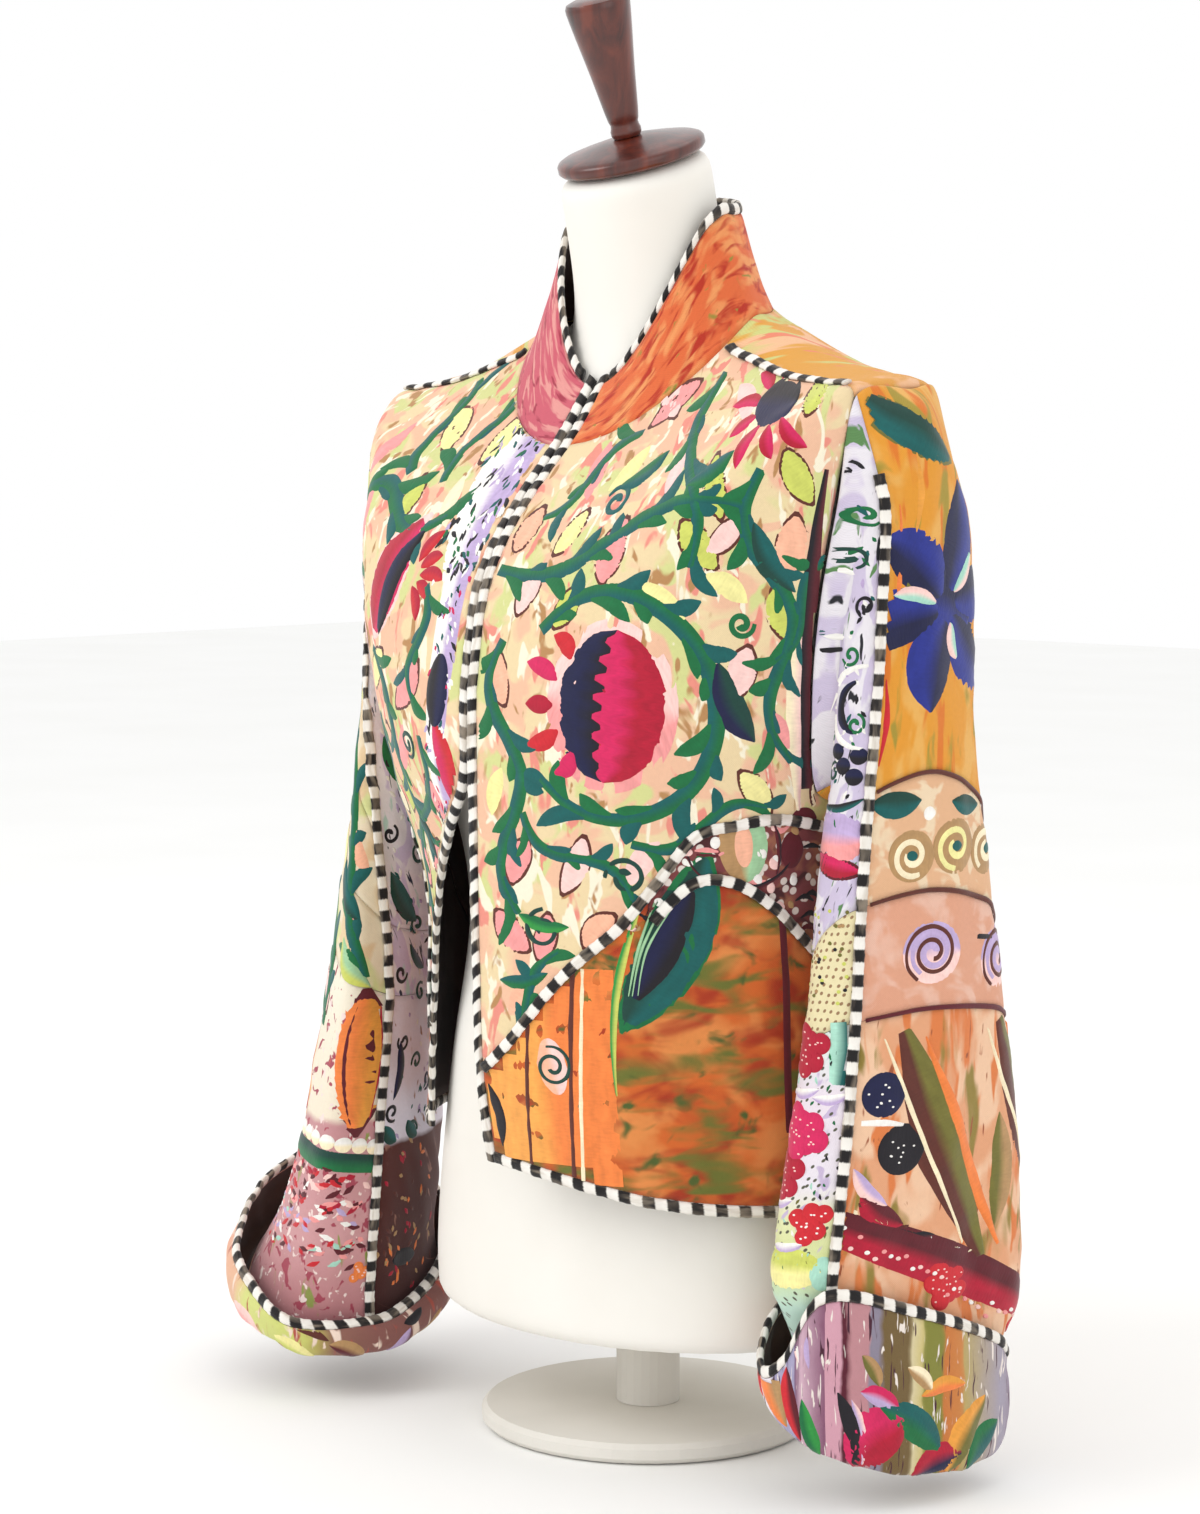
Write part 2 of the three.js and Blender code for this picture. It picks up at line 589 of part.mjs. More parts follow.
// Binding beyond a free edge: away points from the wall to the outside of the edge.
function bindingOn(grid, path, step) {
  return path.map(([c, r]) => {
    const column = grid.closed ? (c + grid.columns) % grid.columns : c;
    const edge = grid.points[r][column];
    const inner = grid.points[r - step[1]][grid.closed ? column : c - step[0]];
    const normal = grid.normals[r][column];
    const away = edge.clone().sub(inner);
    away.addScaledVector(normal, -away.dot(normal)).normalize();
    const near = edge.clone().addScaledVector(away, bindingGap);
    const middle = edge.clone().addScaledVector(away, bindingGap + bindingWidth / 2);
    const far = edge.clone().addScaledVector(away, bindingGap + bindingWidth);
    const half = bindingThickness / 2;
    return [
      near.clone().addScaledVector(normal, half * 0.7),
      middle.clone().addScaledVector(normal, half),
      far.clone().addScaledVector(normal, half * 0.5),
      far.clone().addScaledVector(normal, -half * 0.5),
      middle.clone().addScaledVector(normal, -half),
      near.clone().addScaledVector(normal, -half * 0.7),
    ];
  });
}

// A section pushed on along a direction, for a bar that runs past its last grid point.
function pushedOn(section, direction, distance) {
  return section.map((p) => p.clone().addScaledVector(direction, distance));
}

// ---- the collar, fronts and back ----
const mirrored = (column) => columnCount - 1 - column;
const mirrorCells = (cells) => cells.map(([c, r]) => [mirrored(c), r]);

function frontCells() {
  return {
    upper: [
      ...cellBlock(0, frontColumns - 1, gridRow.neck, gridRow.slant - 1),
      [frontColumns, gridRow.underarm],
    ],
    patch: cellBlock(patchStart, frontColumns, gridRow.slant, gridRow.patchEnd - 1),
    lower: [
      ...cellBlock(0, patchStart - 1, gridRow.slant, gridRow.patchEnd - 1),
      ...cellBlock(0, frontColumns, gridRow.patchEnd, gridRow.hem - 1),
    ],
  };
}

function backCells() {
  const last = mirrored(frontColumns);
  return [
    ...cellBlock(frontColumns, last, gridRow.neck, gridRow.shoulder - 1),
    ...cellBlock(frontColumns + sideColumns, last - sideColumns, gridRow.shoulder, gridRow.underarm - 1),
    ...cellBlock(sideSeam, last - 1, gridRow.underarm, gridRow.hem - 1),
  ];
}

const collarCells = cellBlock(0, halfColumns - 1, gridRow.collarEdge, gridRow.neck - 1);
addMesh("collar_left", wallOver(bodyGrid, collarCells), colour.coral);
addMesh("collar_right", wallOver(bodyGrid, mirrorCells(collarCells)), colour.rose);
for (const side of ["left", "right"]) {
  const { upper, patch, lower } = frontCells();
  const onSide = (cells) => (side === "left" ? cells : mirrorCells(cells));
  addMesh(`front_${side}_upper`, wallOver(bodyGrid, onSide(upper)), colour.cream);
  addMesh(`front_${side}_patch`, wallOver(bodyGrid, onSide(patch)), colour.maroon);
  addMesh(`front_${side}_lower`, wallOver(bodyGrid, onSide(lower)), colour.orange);
}
addMesh("back", wallOver(bodyGrid, backCells()), colour.amber);

// ---- the body's bindings and piping ----
function range(from, to) {
  const step = Math.sign(to - from);
  return Array.from({ length: Math.abs(to - from) + 1 }, (_, k) => from + k * step);
}
const cornerReach = bindingWidth + bindingGap;

for (const [side, hand] of [["left", 1], ["right", -1]]) {
  const edge = hand > 0 ? 0 : columnCount;
  const column = (i) => (hand > 0 ? i : columnCount - i);
  const rows = range(0, gridRow.hem);
  const front = bindingOn(bodyGrid, rows.map((r) => [edge, r]), [-hand, 0]);
  const pointsOf = (r) => bodyGrid.points[r][edge];
  const up = pointsOf(0).clone().sub(pointsOf(1)).normalize();
  const down = pointsOf(gridRow.hem).clone().sub(pointsOf(gridRow.hem - 1)).normalize();
  front.unshift(pushedOn(front[0], up, cornerReach));
  front.push(pushedOn(front[front.length - 1], down, cornerReach));
  addMesh(`binding_front_${side}`, barAlong(front), colour.stripe);

  const collarPath = range(0, halfColumns).map((i) => [column(i), 0]);
  const collar = bindingOn(bodyGrid, collarPath, [0, -1]);
  moveEnd(collar, true, 2 * seamGap);
  moveEnd(collar, false, seamGap / 2);
  addMesh(`binding_collar_${side}`, barAlong(collar), colour.stripe);

  const shoulderPath = range(gridRow.neck, gridRow.shoulder).map((r) => [column(frontColumns), r]);
  const shoulder = pipingOn(bodyGrid, shoulderPath, [1, 0], pipingSeat + extraSeat / 2);
  moveEnd(moveEnd(shoulder, false, lapLift + pipingWidth), true, pipingSetback);
  addMesh(`piping_shoulder_${side}`, barAlong(shoulder), colour.stripe);

  const slantPath = range(0, sideSeam).map((i) => [column(i), gridRow.slant]);
  const slant = pipingOn(bodyGrid, slantPath, [0, 1]);
  moveEnd(moveEnd(slant, true, pipingSetback), false, pipingSetback / 2);
  addMesh(`piping_slant_${side}`, barAlong(slant), colour.stripe);

  const patchPath = range(patchStart, sideSeam).map((i) => [column(i), gridRow.patchEnd]);
  const patch = moveEnd(pipingOn(bodyGrid, patchPath, [0, 1]), false, pipingSetback / 2);
  addMesh(`piping_patch_${side}`, barAlong(patch), colour.stripe);
}

const hemPath = range(0, columnCount).map((c) => [c, gridRow.hem]);
const hem = moveEnd(moveEnd(bindingOn(bodyGrid, hemPath, [0, 1]), true, seamGap), false, seamGap);
addMesh("binding_hem", barAlong(hem), colour.stripe);

// ---- the sleeves ----
// The armhole's loop of body grid points, from the front top corner over the top and down the back.
function armholeLoop(hand) {
  const column = (i) => (hand > 0 ? i : columnCount - i);
  const [first, last] = [frontColumns, frontColumns + sideColumns];
  const loop = [
    ...range(first, last).map((i) => [column(i), gridRow.shoulder]),
    ...range(gridRow.shoulder + 1, gridRow.underarm).map((r) => [column(last), r]),
    ...range(last - 1, first).map((i) => [column(i), gridRow.underarm]),
    ...range(gridRow.underarm - 1, gridRow.shoulder + 1).map((r) => [column(first), r]),
  ];
  return loop;
}

// The angle of each loop point round the sleeve: 0 outermost, 90 foremost, 180 innermost.
const loopAngles = [45, 0, -45, -70, -95, -120, -145, -180, -215, -240, -265, -290];
const sleeveColumns = loopAngles.length;
const stripStart = 8; // the front strip runs from the inner seam to the piping at column 0

function sleevePoint(ring, angle, hand) {
  const lean = radians(ring.turn);
  const half = (ring.outer - ring.inner) / 2;
  const round = radians(angle + ring.twist);
  const [out, forward] = [Math.cos(round), Math.sin(round)];
  const sideways = half * out * Math.cos(lean) - ring.reach * forward * Math.sin(lean);
  const rise = (ring.outerRise + ring.innerRise) / 2 + ((ring.outerRise - ring.innerRise) / 2) * out;
  return new THREE.Vector3(
    hand * ((ring.outer + ring.inner) / 2 + sideways),
    ring.middle - half * out * Math.sin(lean) - ring.reach * forward * Math.cos(lean),
    shoulderHeight + rise - ring.frontDrop * forward,
  );
}

// Each sleeve is pieced in bands: the rows of each, and its colour.
const outerBands = [
  { name: "upper", first: 0, last: 4, colour: colour.amber },
  { name: "scroll", first: 5, last: 5, colour: colour.cream },
  { name: "spiral", first: 6, last: 6, colour: colour.peach },
  { name: "lower", first: 7, last: 11, colour: colour.peach },
];
const frontBands = [
  { name: "upper", first: 0, last: 5, colour: colour.lavender },
  { name: "middle", first: 6, last: 6, colour: colour.cream },
  { name: "lower", first: 7, last: 11, colour: colour.maroon },
];

for (const [side, hand] of [["left", 1], ["right", -1]]) {
  const rings = sleeveRings[side];
  const loop = armholeLoop(hand);
  const grid = surfaceGrid(
    sleeveColumns,
    rings.length,
    (c, r) => {
      const k = c % sleeveColumns;
      if (r > 0) return sleevePoint(rings[r - 1], loopAngles[k], hand);
      const [column, row] = loop[k];
      return bodyGrid.points[row][column].clone().addScaledVector(bodyGrid.normals[row][column], lapLift);
    },
    true,
    -hand,
  );
  for (const band of frontBands) {
    const cells = cellBlock(stripStart, sleeveColumns - 1, band.first, band.last);
    addMesh(`sleeve_${side}_front_${band.name}`, wallOver(grid, cells), band.colour);
  }
  for (const band of outerBands) {
    const cells = cellBlock(0, stripStart - 1, band.first, band.last);
    addMesh(`sleeve_${side}_outer_${band.name}`, wallOver(grid, cells), band.colour);
  }
  const seam = range(1, rings.length).map((r) => [0, r]);
  const piping = pipingOn(grid, seam, [1, 0], pipingSeat + extraSeat);
  moveEnd(moveEnd(piping, true, pipingSetback), false, 2 * pipingSetback);
  addMesh(`piping_sleeve_${side}`, barAlong(piping), colour.stripe);

  // The cuff hangs from the sleeve's last ring, folds outwards and stands up round it.
  const rows = cuffRows[side];
  const end = rings[rings.length - 1];
  const cuff = surfaceGrid(
    sleeveColumns,
    rows.length - 1,
    (c, r) => {
      const column = c % sleeveColumns;
      const { wider, deeper, up, share } = rows[r];
      const ring = {
        ...end,
        outer: end.outer + wider,
        inner: end.inner - wider,
        reach: end.reach + deeper,
      };
      const point = sleevePoint(ring, loopAngles[column], hand);
      point.z += up + share * cuffEdge[side][column];
      return point;
    },
    true,
    -hand,
  );
  const cuffCells = cellBlock(0, sleeveColumns - 1, 0, rows.length - 2);
  addMesh(`cuff_${side}`, wallOver(cuff, cuffCells), colour.mauve);
  const freeEdge = range(0, sleeveColumns - 1).map((c) => [c, rows.length - 1]);
  addMesh(`binding_cuff_${side}`, barAlong(bindingOn(cuff, freeEdge, [0, 1]), true), colour.stripe);
}

// ---- the dress form and its stand ----
function formSurface() {
  const columns = 40;
  const rowsPerRing = 2;
  const rows = (formRings.length - 1) * rowsPerRing;
  const points = [];
  const triangles = [];
  for (let r = 0; r <= rows; r++) {
    const ring = rowAt(formRings, r / rowsPerRing);
    for (let c = 0; c < columns; c++) {
      const round = (c * 360) / columns;
      const hand = round <= 180 ? 1 : -1;
      const turn = round <= 180 ? round : 360 - round;
      points.push(ringPoint(ring, turn, hand, ring.half, ring.chest, ring.spine));
    }
  }
  for (let r = 0; r < rows; r++)
    for (let c = 0; c < columns; c++) {
      const [a, b] = [r * columns + c, r * columns + ((c + 1) % columns)];
      triangles.push(a, a + columns, b + columns, a, b + columns, b);
    }
  const middleOf = (start) => {
    const sum = new THREE.Vector3();
    for (let c = 0; c < columns; c++) sum.add(points[start + c]);
    return sum.divideScalar(columns);
  };
  const [top, bottom] = [points.length, points.length + 1];
  points.push(middleOf(0), middleOf(rows * columns));
  for (let c = 0; c < columns; c++) {
    triangles.push(top, c, (c + 1) % columns);
    triangles.push(bottom, rows * columns + ((c + 1) % columns), rows * columns + c);
  }
  return closedGeometry(points, triangles);
}

function turned(profile, segments = 32) {
  const outline = profile.map((row) => new THREE.Vector2(row.radius, row.height));
  const geometry = new THREE.LatheGeometry(outline, segments);
  geometry.rotateX(Math.PI / 2);
  return geometry;
}

addMesh("form_torso", formSurface(), colour.form, 0.8);

const neckTop = new THREE.Group();
neckTop.position.set(0, formRings[0].shift, shoulderHeight + formRings[0].sideRise);
neckTop.rotation.x = capTilt;
group.add(neckTop);
neckTop.add(addMesh("form_cap", turned(capProfile), colour.wood, 0.35));
neckTop.add(addMesh("form_handle", turned(handleProfile, 24), colour.wood, 0.35));

const formBottom = shoulderHeight + formRings[formRings.length - 1].sideRise;
addMesh(
  "stand_pole",
  turned([
    { radius: 0, height: baseThickness + seamGap },
    { radius: poleRadius, height: baseThickness + seamGap },
    { radius: poleRadius, height: formBottom - seamGap },
    { radius: 0, height: formBottom - seamGap },
  ], 24),
  colour.form,
  0.6,
);
addMesh(
  "stand_base",
  turned([
    { radius: 0, height: 0 }, { radius: baseRadius - baseRounding, height: 0 },
    { radius: baseRadius, height: baseRounding },
    { radius: baseRadius, height: baseThickness - baseRounding },
    { radius: baseRadius - baseRounding, height: baseThickness },
    { radius: 0, height: baseThickness },
  ], 48),
  colour.form,
  0.6,
);

export default group;
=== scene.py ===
# Cropped patchwork jacket on a limbless dress form.
# Metres, +Z up; the front faces -Y and the wearer's left is +X. Tables of the cut are in millimetres.
import math

import bmesh
import bpy
import numpy as np
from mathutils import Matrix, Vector


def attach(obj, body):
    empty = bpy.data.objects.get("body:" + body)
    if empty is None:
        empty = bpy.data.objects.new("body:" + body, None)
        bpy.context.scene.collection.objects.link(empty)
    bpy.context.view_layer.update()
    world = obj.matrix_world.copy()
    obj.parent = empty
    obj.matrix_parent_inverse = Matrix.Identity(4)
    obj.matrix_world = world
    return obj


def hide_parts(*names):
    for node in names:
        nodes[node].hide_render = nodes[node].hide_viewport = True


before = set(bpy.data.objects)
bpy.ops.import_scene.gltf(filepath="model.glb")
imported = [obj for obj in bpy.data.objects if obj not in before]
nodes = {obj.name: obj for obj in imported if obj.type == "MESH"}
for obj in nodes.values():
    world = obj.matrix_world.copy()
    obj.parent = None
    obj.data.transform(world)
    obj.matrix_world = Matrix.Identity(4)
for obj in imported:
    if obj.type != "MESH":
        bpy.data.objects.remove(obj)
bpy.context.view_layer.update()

# ---- The studio ----
# A plain pale floor under soft light from a wide lamp on the left, a weaker one on the right and a pale
# surround. The camera looks at the jacket's left front from breast height.
def bare_selection():
    if bpy.context.object and bpy.context.object.mode != "OBJECT":
        bpy.ops.object.mode_set(mode="OBJECT")
    bpy.ops.object.select_all(action="DESELECT")


def srgb(code):
    parts = [int(code[i : i + 2], 16) / 255 for i in (1, 3, 5)]
    return tuple(p / 12.92 if p <= 0.04045 else ((p + 0.055) / 1.055) ** 2.4 for p in parts) + (1.0,)


bare_selection()
bpy.ops.mesh.primitive_plane_add(size=1, location=(0, 0, -0.001))
floor = bpy.context.object
floor.name = "studio_floor"
floor.scale = (14, 14, 1)
bpy.ops.object.transform_apply(location=True, rotation=False, scale=True)

plaster = bpy.data.materials.new("floor_plaster")
plaster.use_nodes = True
plaster_shader = plaster.node_tree.nodes["Principled BSDF"]
plaster_shader.inputs["Roughness"].default_value = 0.9
plaster_shader.inputs["Specular IOR Level"].default_value = 0.1
plaster_noise = plaster.node_tree.nodes.new("ShaderNodeTexNoise")
plaster_noise.inputs["Scale"].default_value = 3
plaster_ramp = plaster.node_tree.nodes.new("ShaderNodeValToRGB")
plaster_ramp.color_ramp.elements[0].color = srgb("#f6f6f4")
plaster_ramp.color_ramp.elements[1].color = srgb("#fbfbfa")
plaster_place = plaster.node_tree.nodes.new("ShaderNodeTexCoord")
plaster.node_tree.links.new(plaster_place.outputs["Object"], plaster_noise.inputs["Vector"])
plaster.node_tree.links.new(plaster_noise.outputs["Fac"], plaster_ramp.inputs["Fac"])
plaster.node_tree.links.new(plaster_ramp.outputs["Color"], plaster_shader.inputs["Base Color"])
floor.data.materials.append(plaster)

world = bpy.data.worlds.new("pale_surround")
bpy.context.scene.world = world
world.use_nodes = True
world.node_tree.nodes["Background"].inputs["Color"].default_value = (1, 1, 1, 1)
world.node_tree.nodes["Background"].inputs["Strength"].default_value = 1.0

lamp_aim = Vector((0.02, 0, 0.42))
for name, place, size, watts in [
    ("wide_lamp", (-1.3, -2.3, 2.3), 1.6, 26),
    ("side_lamp", (2.6, -0.9, 1.5), 1.8, 6),
    ("top_lamp", (0.2, 0.6, 2.8), 1.6, 6),
]:
    lamp_data = bpy.data.lights.new(name, "AREA")
    lamp_data.size = size
    lamp_data.energy = watts
    lamp = bpy.data.objects.new(name, lamp_data)
    lamp.location = place
    lamp.rotation_euler = (lamp_aim - Vector(place)).to_track_quat("-Z", "Y").to_euler()
    bpy.context.collection.objects.link(lamp)

camera_data = bpy.data.cameras.new("camera")
sensor_width, lens_reach, lens_span = 36, 3521.3, 1514
camera_data.lens = sensor_width * lens_reach / lens_span
camera_data.shift_y = -0.03
camera = bpy.data.objects.new("camera", camera_data)
bearing, pan, tip, distance = math.radians(41.9), math.radians(0.796), math.radians(4.529), 2.1862
camera.location = (distance * math.sin(bearing), -distance * math.cos(bearing), 0.6208)
camera.rotation_euler = (math.radians(90) - tip, 0, bearing + pan)
bpy.context.collection.objects.link(camera)
bpy.context.scene.camera = camera
bpy.context.scene.view_settings.view_transform = "Standard"


# ---- The dress form, its neck cap and stand ----
# A moulded limbless torso covered in smooth warm white cloth, closed at the neck by a turned cap and
# handle of dark red stained wood, on a round pole and a flat base painted to match.
def new_material(name, roughness, sheen=0.0, coat=0.0, specular=0.5):
    material = bpy.data.materials.new(name)
    material.use_nodes = True
    shader = material.node_tree.nodes["Principled BSDF"]
    shader.inputs["Roughness"].default_value = roughness
    shader.inputs["Sheen Weight"].default_value = sheen
    shader.inputs["Coat Weight"].default_value = coat
    shader.inputs["Specular IOR Level"].default_value = specular
    return material, shader


def node_at(tree, kind, settings=None, **inputs):
    node = tree.nodes.new(kind)
    for key, value in (settings or {}).items():
        setattr(node, key, value)
    for key, value in inputs.items():
        socket = node.inputs[int(key[1:])] if key[1:].isdigit() else node.inputs[key.replace("_", " ")]
        if isinstance(value, bpy.types.NodeSocket):
            tree.links.new(value, socket)
        else:
            socket.default_value = value
    return node


def ramp_at(tree, fac, stops, smooth="LINEAR"):
    node = tree.nodes.new("ShaderNodeValToRGB")
    node.color_ramp.interpolation = smooth
    while len(node.color_ramp.elements) < len(stops):
        node.color_ramp.elements.new(0.5)
    for element, (place, code) in zip(node.color_ramp.elements, stops):
        element.position = place
        element.color = srgb(code)
    tree.links.new(fac, node.inputs["Fac"])
    return node.outputs["Color"]


def painted_cloth(name, light, dark):
    material, shader = new_material(name, 0.85, specular=0.2)
    tree = material.node_tree
    place = node_at(tree, "ShaderNodeTexCoord").outputs["Object"]
    cloud = node_at(tree, "ShaderNodeTexNoise", Vector=place, Scale=7.0, Detail=4.0)
    grain = node_at(tree, "ShaderNodeTexNoise", Vector=place, Scale=900.0, Detail=2.0)
    tree.links.new(ramp_at(tree, cloud.outputs["Fac"], [(0.3, dark), (0.7, light)]),
        shader.inputs["Base Color"])
    bump = node_at(tree, "ShaderNodeBump", Height=grain.outputs["Fac"], Strength=0.12, Distance=0.0004)
    tree.links.new(bump.outputs["Normal"], shader.inputs["Normal"])
    return material


form_cover = painted_cloth("form_cover", "#f4f1ea", "#ebe7df")
stand_paint = painted_cloth("stand_paint", "#e6e2da", "#d9d5cc")

stained_wood, wood_shader = new_material("stained_wood", 0.32, coat=0.5, specular=0.5)
wood_shader.inputs["Coat Roughness"].default_value = 0.18
tree = stained_wood.node_tree
place = node_at(tree, "ShaderNodeTexCoord").outputs["Object"]
along = node_at(tree, "ShaderNodeMapping", Vector=place, Scale=(60.0, 60.0, 9.0))
wander = node_at(tree, "ShaderNodeTexNoise", Vector=along.outputs["Vector"], Scale=1.0, Detail=6.0,
    Distortion=1.2)
pores = node_at(tree, "ShaderNodeTexNoise", Vector=along.outputs["Vector"], Scale=9.0, Detail=3.0)
wood_tone = ramp_at(tree, wander.outputs["Fac"], [(0.3, "#2e0c06"), (0.5, "#521a0c"), (0.68, "#6d2a16")])
tree.links.new(wood_tone, wood_shader.inputs["Base Color"])
wood_bump = node_at(tree, "ShaderNodeBump", Height=pores.outputs["Fac"], Strength=0.15, Distance=0.0005)
tree.links.new(wood_bump.outputs["Normal"], wood_shader.inputs["Normal"])

# The torso starts from a copy of its solid, smoothed by one level of subdivision.
bare_selection()
torso = nodes["form_torso"].copy()
torso.data = nodes["form_torso"].data.copy()
torso.name = "torso"
torso.data.name = "torso"
bpy.context.collection.objects.link(torso)
torso.parent = None
for key in list(torso.keys()):
    del torso[key]
bpy.context.view_layer.objects.active = torso
torso.select_set(True)
torso.hide_render = False
bpy.ops.object.mode_set(mode="EDIT")
bpy.ops.mesh.select_all(action="SELECT")
bpy.ops.mesh.remove_doubles(threshold=1e-6)
bpy.ops.mesh.tris_convert_to_quads()
bpy.ops.object.mode_set(mode="OBJECT")
smoothing = torso.modifiers.new("smoothing", "SUBSURF")
smoothing.levels = smoothing.render_levels = 2
bpy.ops.object.modifier_apply(modifier="smoothing")
bpy.ops.object.shade_smooth()
torso.data.materials.clear()
torso.data.materials.append(form_cover)
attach(torso, "root")
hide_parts("form_torso")

# The cap and handle are turned: a disc, drawn out and scaled ring by ring, leaning with the neck's cut.
neck_top = Vector((0, -0.015, 0.786))
neck_lean = math.atan(16 / 46)


def turned_piece(name, profile, segments, slot):
    bare_selection()
    bpy.ops.mesh.primitive_circle_add(
        vertices=segments, radius=profile[0][0], fill_type="NGON", location=(0, 0, profile[0][1])
    )
    piece = bpy.context.object
    piece.name = name
    bpy.ops.object.transform_apply(location=True, rotation=False, scale=False)
    bpy.ops.object.mode_set(mode="EDIT")
    bpy.ops.mesh.select_all(action="SELECT")
    for (radius, height), (next_radius, next_height) in zip(profile, profile[1:]):
        bpy.ops.mesh.extrude_region_move(
            TRANSFORM_OT_translate={"value": (0, 0, next_height - height)}
        )
        share = next_radius / radius
        bpy.ops.transform.resize(value=(share, share, 1), center_override=(0, 0, next_height))
    bpy.ops.mesh.select_all(action="SELECT")
    bpy.ops.mesh.normals_make_consistent(inside=False)
    bpy.ops.object.mode_set(mode="OBJECT")
    piece.location = neck_top
    piece.rotation_euler = (neck_lean, 0, 0)
    bpy.ops.object.transform_apply(location=True, rotation=True, scale=False)
    bpy.ops.object.shade_smooth_by_angle(angle=math.radians(40))
    piece.data.materials.append(stained_wood)
    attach(piece, "root")
    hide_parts(slot)
    return piece


cap_profile = [
    (0.0415, 0.0003), (0.0445, 0.0012), (0.046, 0.003), (0.046, 0.0068), (0.0448, 0.0085),
    (0.042, 0.0098), (0.036, 0.0112), (0.0295, 0.0125), (0.022, 0.014), (0.015, 0.0153), (0.006, 0.016),
]
turned_piece("neck_cap", cap_profile, 96, "form_cap")
handle_profile = [
    (0.0085, 0.0163), (0.0094, 0.018), (0.0095, 0.0205), (0.0088, 0.0225), (0.0086, 0.0245),
    (0.0094, 0.0265), (0.0104, 0.032), (0.0118, 0.042), (0.0136, 0.055), (0.0158, 0.069),
    (0.0176, 0.08), (0.0191, 0.09), (0.0199, 0.096), (0.0199, 0.0985), (0.0188, 0.1008), (0.015, 0.1021),
    (0.006, 0.1025),
]
turned_piece("neck_handle", handle_profile, 64, "form_handle")

for name in ("stand_pole", "stand_base"):
    for seat in nodes[name].material_slots:
        seat.material = stand_paint


# ---- The body's cut ----
# One ruled surface runs from the collar's edge down to the hem, ring by ring, and the fronts, back and
# collar are cut out of it. Half widths and depths are measured from the centre and the side line.
shoulder_height = 640.0
ring_names = (
    "front_rise side_rise back_rise dip left right front_left front_right back open_left open_right "
    "armhole tilt square"
).split()
body_rings = np.array([
    [9, 112, 120, 1.8, 60, 60, 50, 50, 50, 7.8, 7.8, 15, 0, 2],  # collar's edge
    [-9, 82, 92, 1.4, 69, 69, 64, 64, 56, 7.8, 7.8, 15, 0, 2],
    [-27, 50, 62, 1.15, 84, 84, 80, 80, 64, 7.8, 7.8, 15, 0, 2],  # neck seam
    [-64, 22, 22, 1.6, 147, 140, 118, 116, 88, 7.8, 7.8, 15, 0, 2.2],
    [-100, 5, -45, 2, 200, 184, 144, 142, 104, 7.8, 7.8, 13, 0, 2.4],  # shoulder points
    [-138, -55, -95, 2, 196, 182, 156, 154, 108, 7.8, 7.8, 16, 0, 2.4],
    [-176, -118, -145, 2, 188, 174, 160, 158, 108, 7.8, 7.8, 18, 0, 2.3],
    [-214, -178, -195, 2, 178, 164, 160, 156, 104, 7.8, 8.5, 17, 0, 2.2],
    [-252, -235, -240, 2, 166, 156, 160, 142, 100, 7.8, 40, 12, 0, 2.1],  # underarm
    [-320, -312, -310, 2, 158, 148, 158, 122, 96, 7.8, 88, 11, -4, 2],
    [-388, -386, -385, 3, 160, 150, 156, 120, 104, 7.8, 104, 11, -10, 2],
    [-446, -460, -455, 5, 165, 154, 146, 120, 114, 7.8, 106, 11, -14, 2],  # hem
])
# the slanting seams of the fronts: share of the way from the front edge to the side, and height
slant_seam = [
    (0, -396), (0.1, -378), (0.28, -333), (0.4, -312), (0.49, -293), (0.58, -257), (0.7, -247),
    (0.85, -242), (1, -248), (1.2, -256),
]
patch_seam = [
    (0, -424), (0.16, -406), (0.36, -346), (0.49, -310), (0.62, -280), (0.8, -280), (0.92, -306),
    (1, -322), (1.2, -345),
]
# soft hanging folds: side, turn, height, spread in degrees, reach up and down, depth
body_folds = [
    (1, 52, -90, 9, 60, -5), (-1, 52, -90, 9, 60, -5), (1, 30, -380, 10, 90, 5),
    (1, 58, -420, 10, 80, -4), (1, 135, -400, 12, 100, 7), (-1, 135, -400, 12, 100, 7),
    (1, 158, -410, 9, 90, -5), (-1, 158, -410, 9, 90, -5),
]

front_shares = [0, 0.11, 0.22, 0.33, 0.42, 0.51, 0.63, 0.75, 0.88, 1]
side_levels = [0, 1, 2, 2.5, 3, 3.5, 4, 5, 6, 7, 8, 8.3, 8.85, 9.45, 10.2, 11]
front_columns, side_columns, back_columns = 9, 2, 8
half_columns = 19
neck_row, shoulder_row, underarm_row, slant_row, patch_row, hem_row = 2, 6, 10, 11, 13, 15
patch_start = 5


def row_at(rows, place):
    last = len(rows) - 1
    start = min(max(int(place), 0), last - 1)
    t = place - start
    a, b, c, d = (rows[min(max(i, 0), last)] for i in range(start - 1, start + 3))
    smooth = t * t * (3 - 2 * t)
    return b + (c - b) * smooth + (c - a) / 2 * (t - 2 * t * t + t**3) + (d - b) / 2 * (t**3 - t * t)


def body_ring(place):
    return dict(zip(ring_names, row_at(body_rings, place)))


def body_point(place, turn, hand):
    ring = body_ring(place)
    half = ring["left"] if hand > 0 else ring["right"]
    sine, cosine = abs(math.sin(math.radians(turn))), abs(math.cos(math.radians(turn)))
    x = half * sine ** (2 / ring["square"])
    depth = -ring["front_left" if hand > 0 else "front_right"] if turn < 90 else ring["back"]
    y = depth * cosine ** (2 / ring["square"])
    end = ring["front_rise"] if turn < 90 else ring["back_rise"]
    rise = ring["side_rise"] + (end - ring["side_rise"]) * cosine ** ring["dip"]
    rise += ring["tilt"] * hand * x / half
    out = 0
    for side, at_turn, at_rise, spread, reach, depth in body_folds:
        if side == hand:
            out += depth * math.exp(-(((turn - at_turn) / spread) ** 2) - ((rise - at_rise) / reach) ** 2)
    length = math.hypot(x, y)
    return np.array([hand * x * (1 + out / length), y * (1 + out / length), shoulder_height + rise])


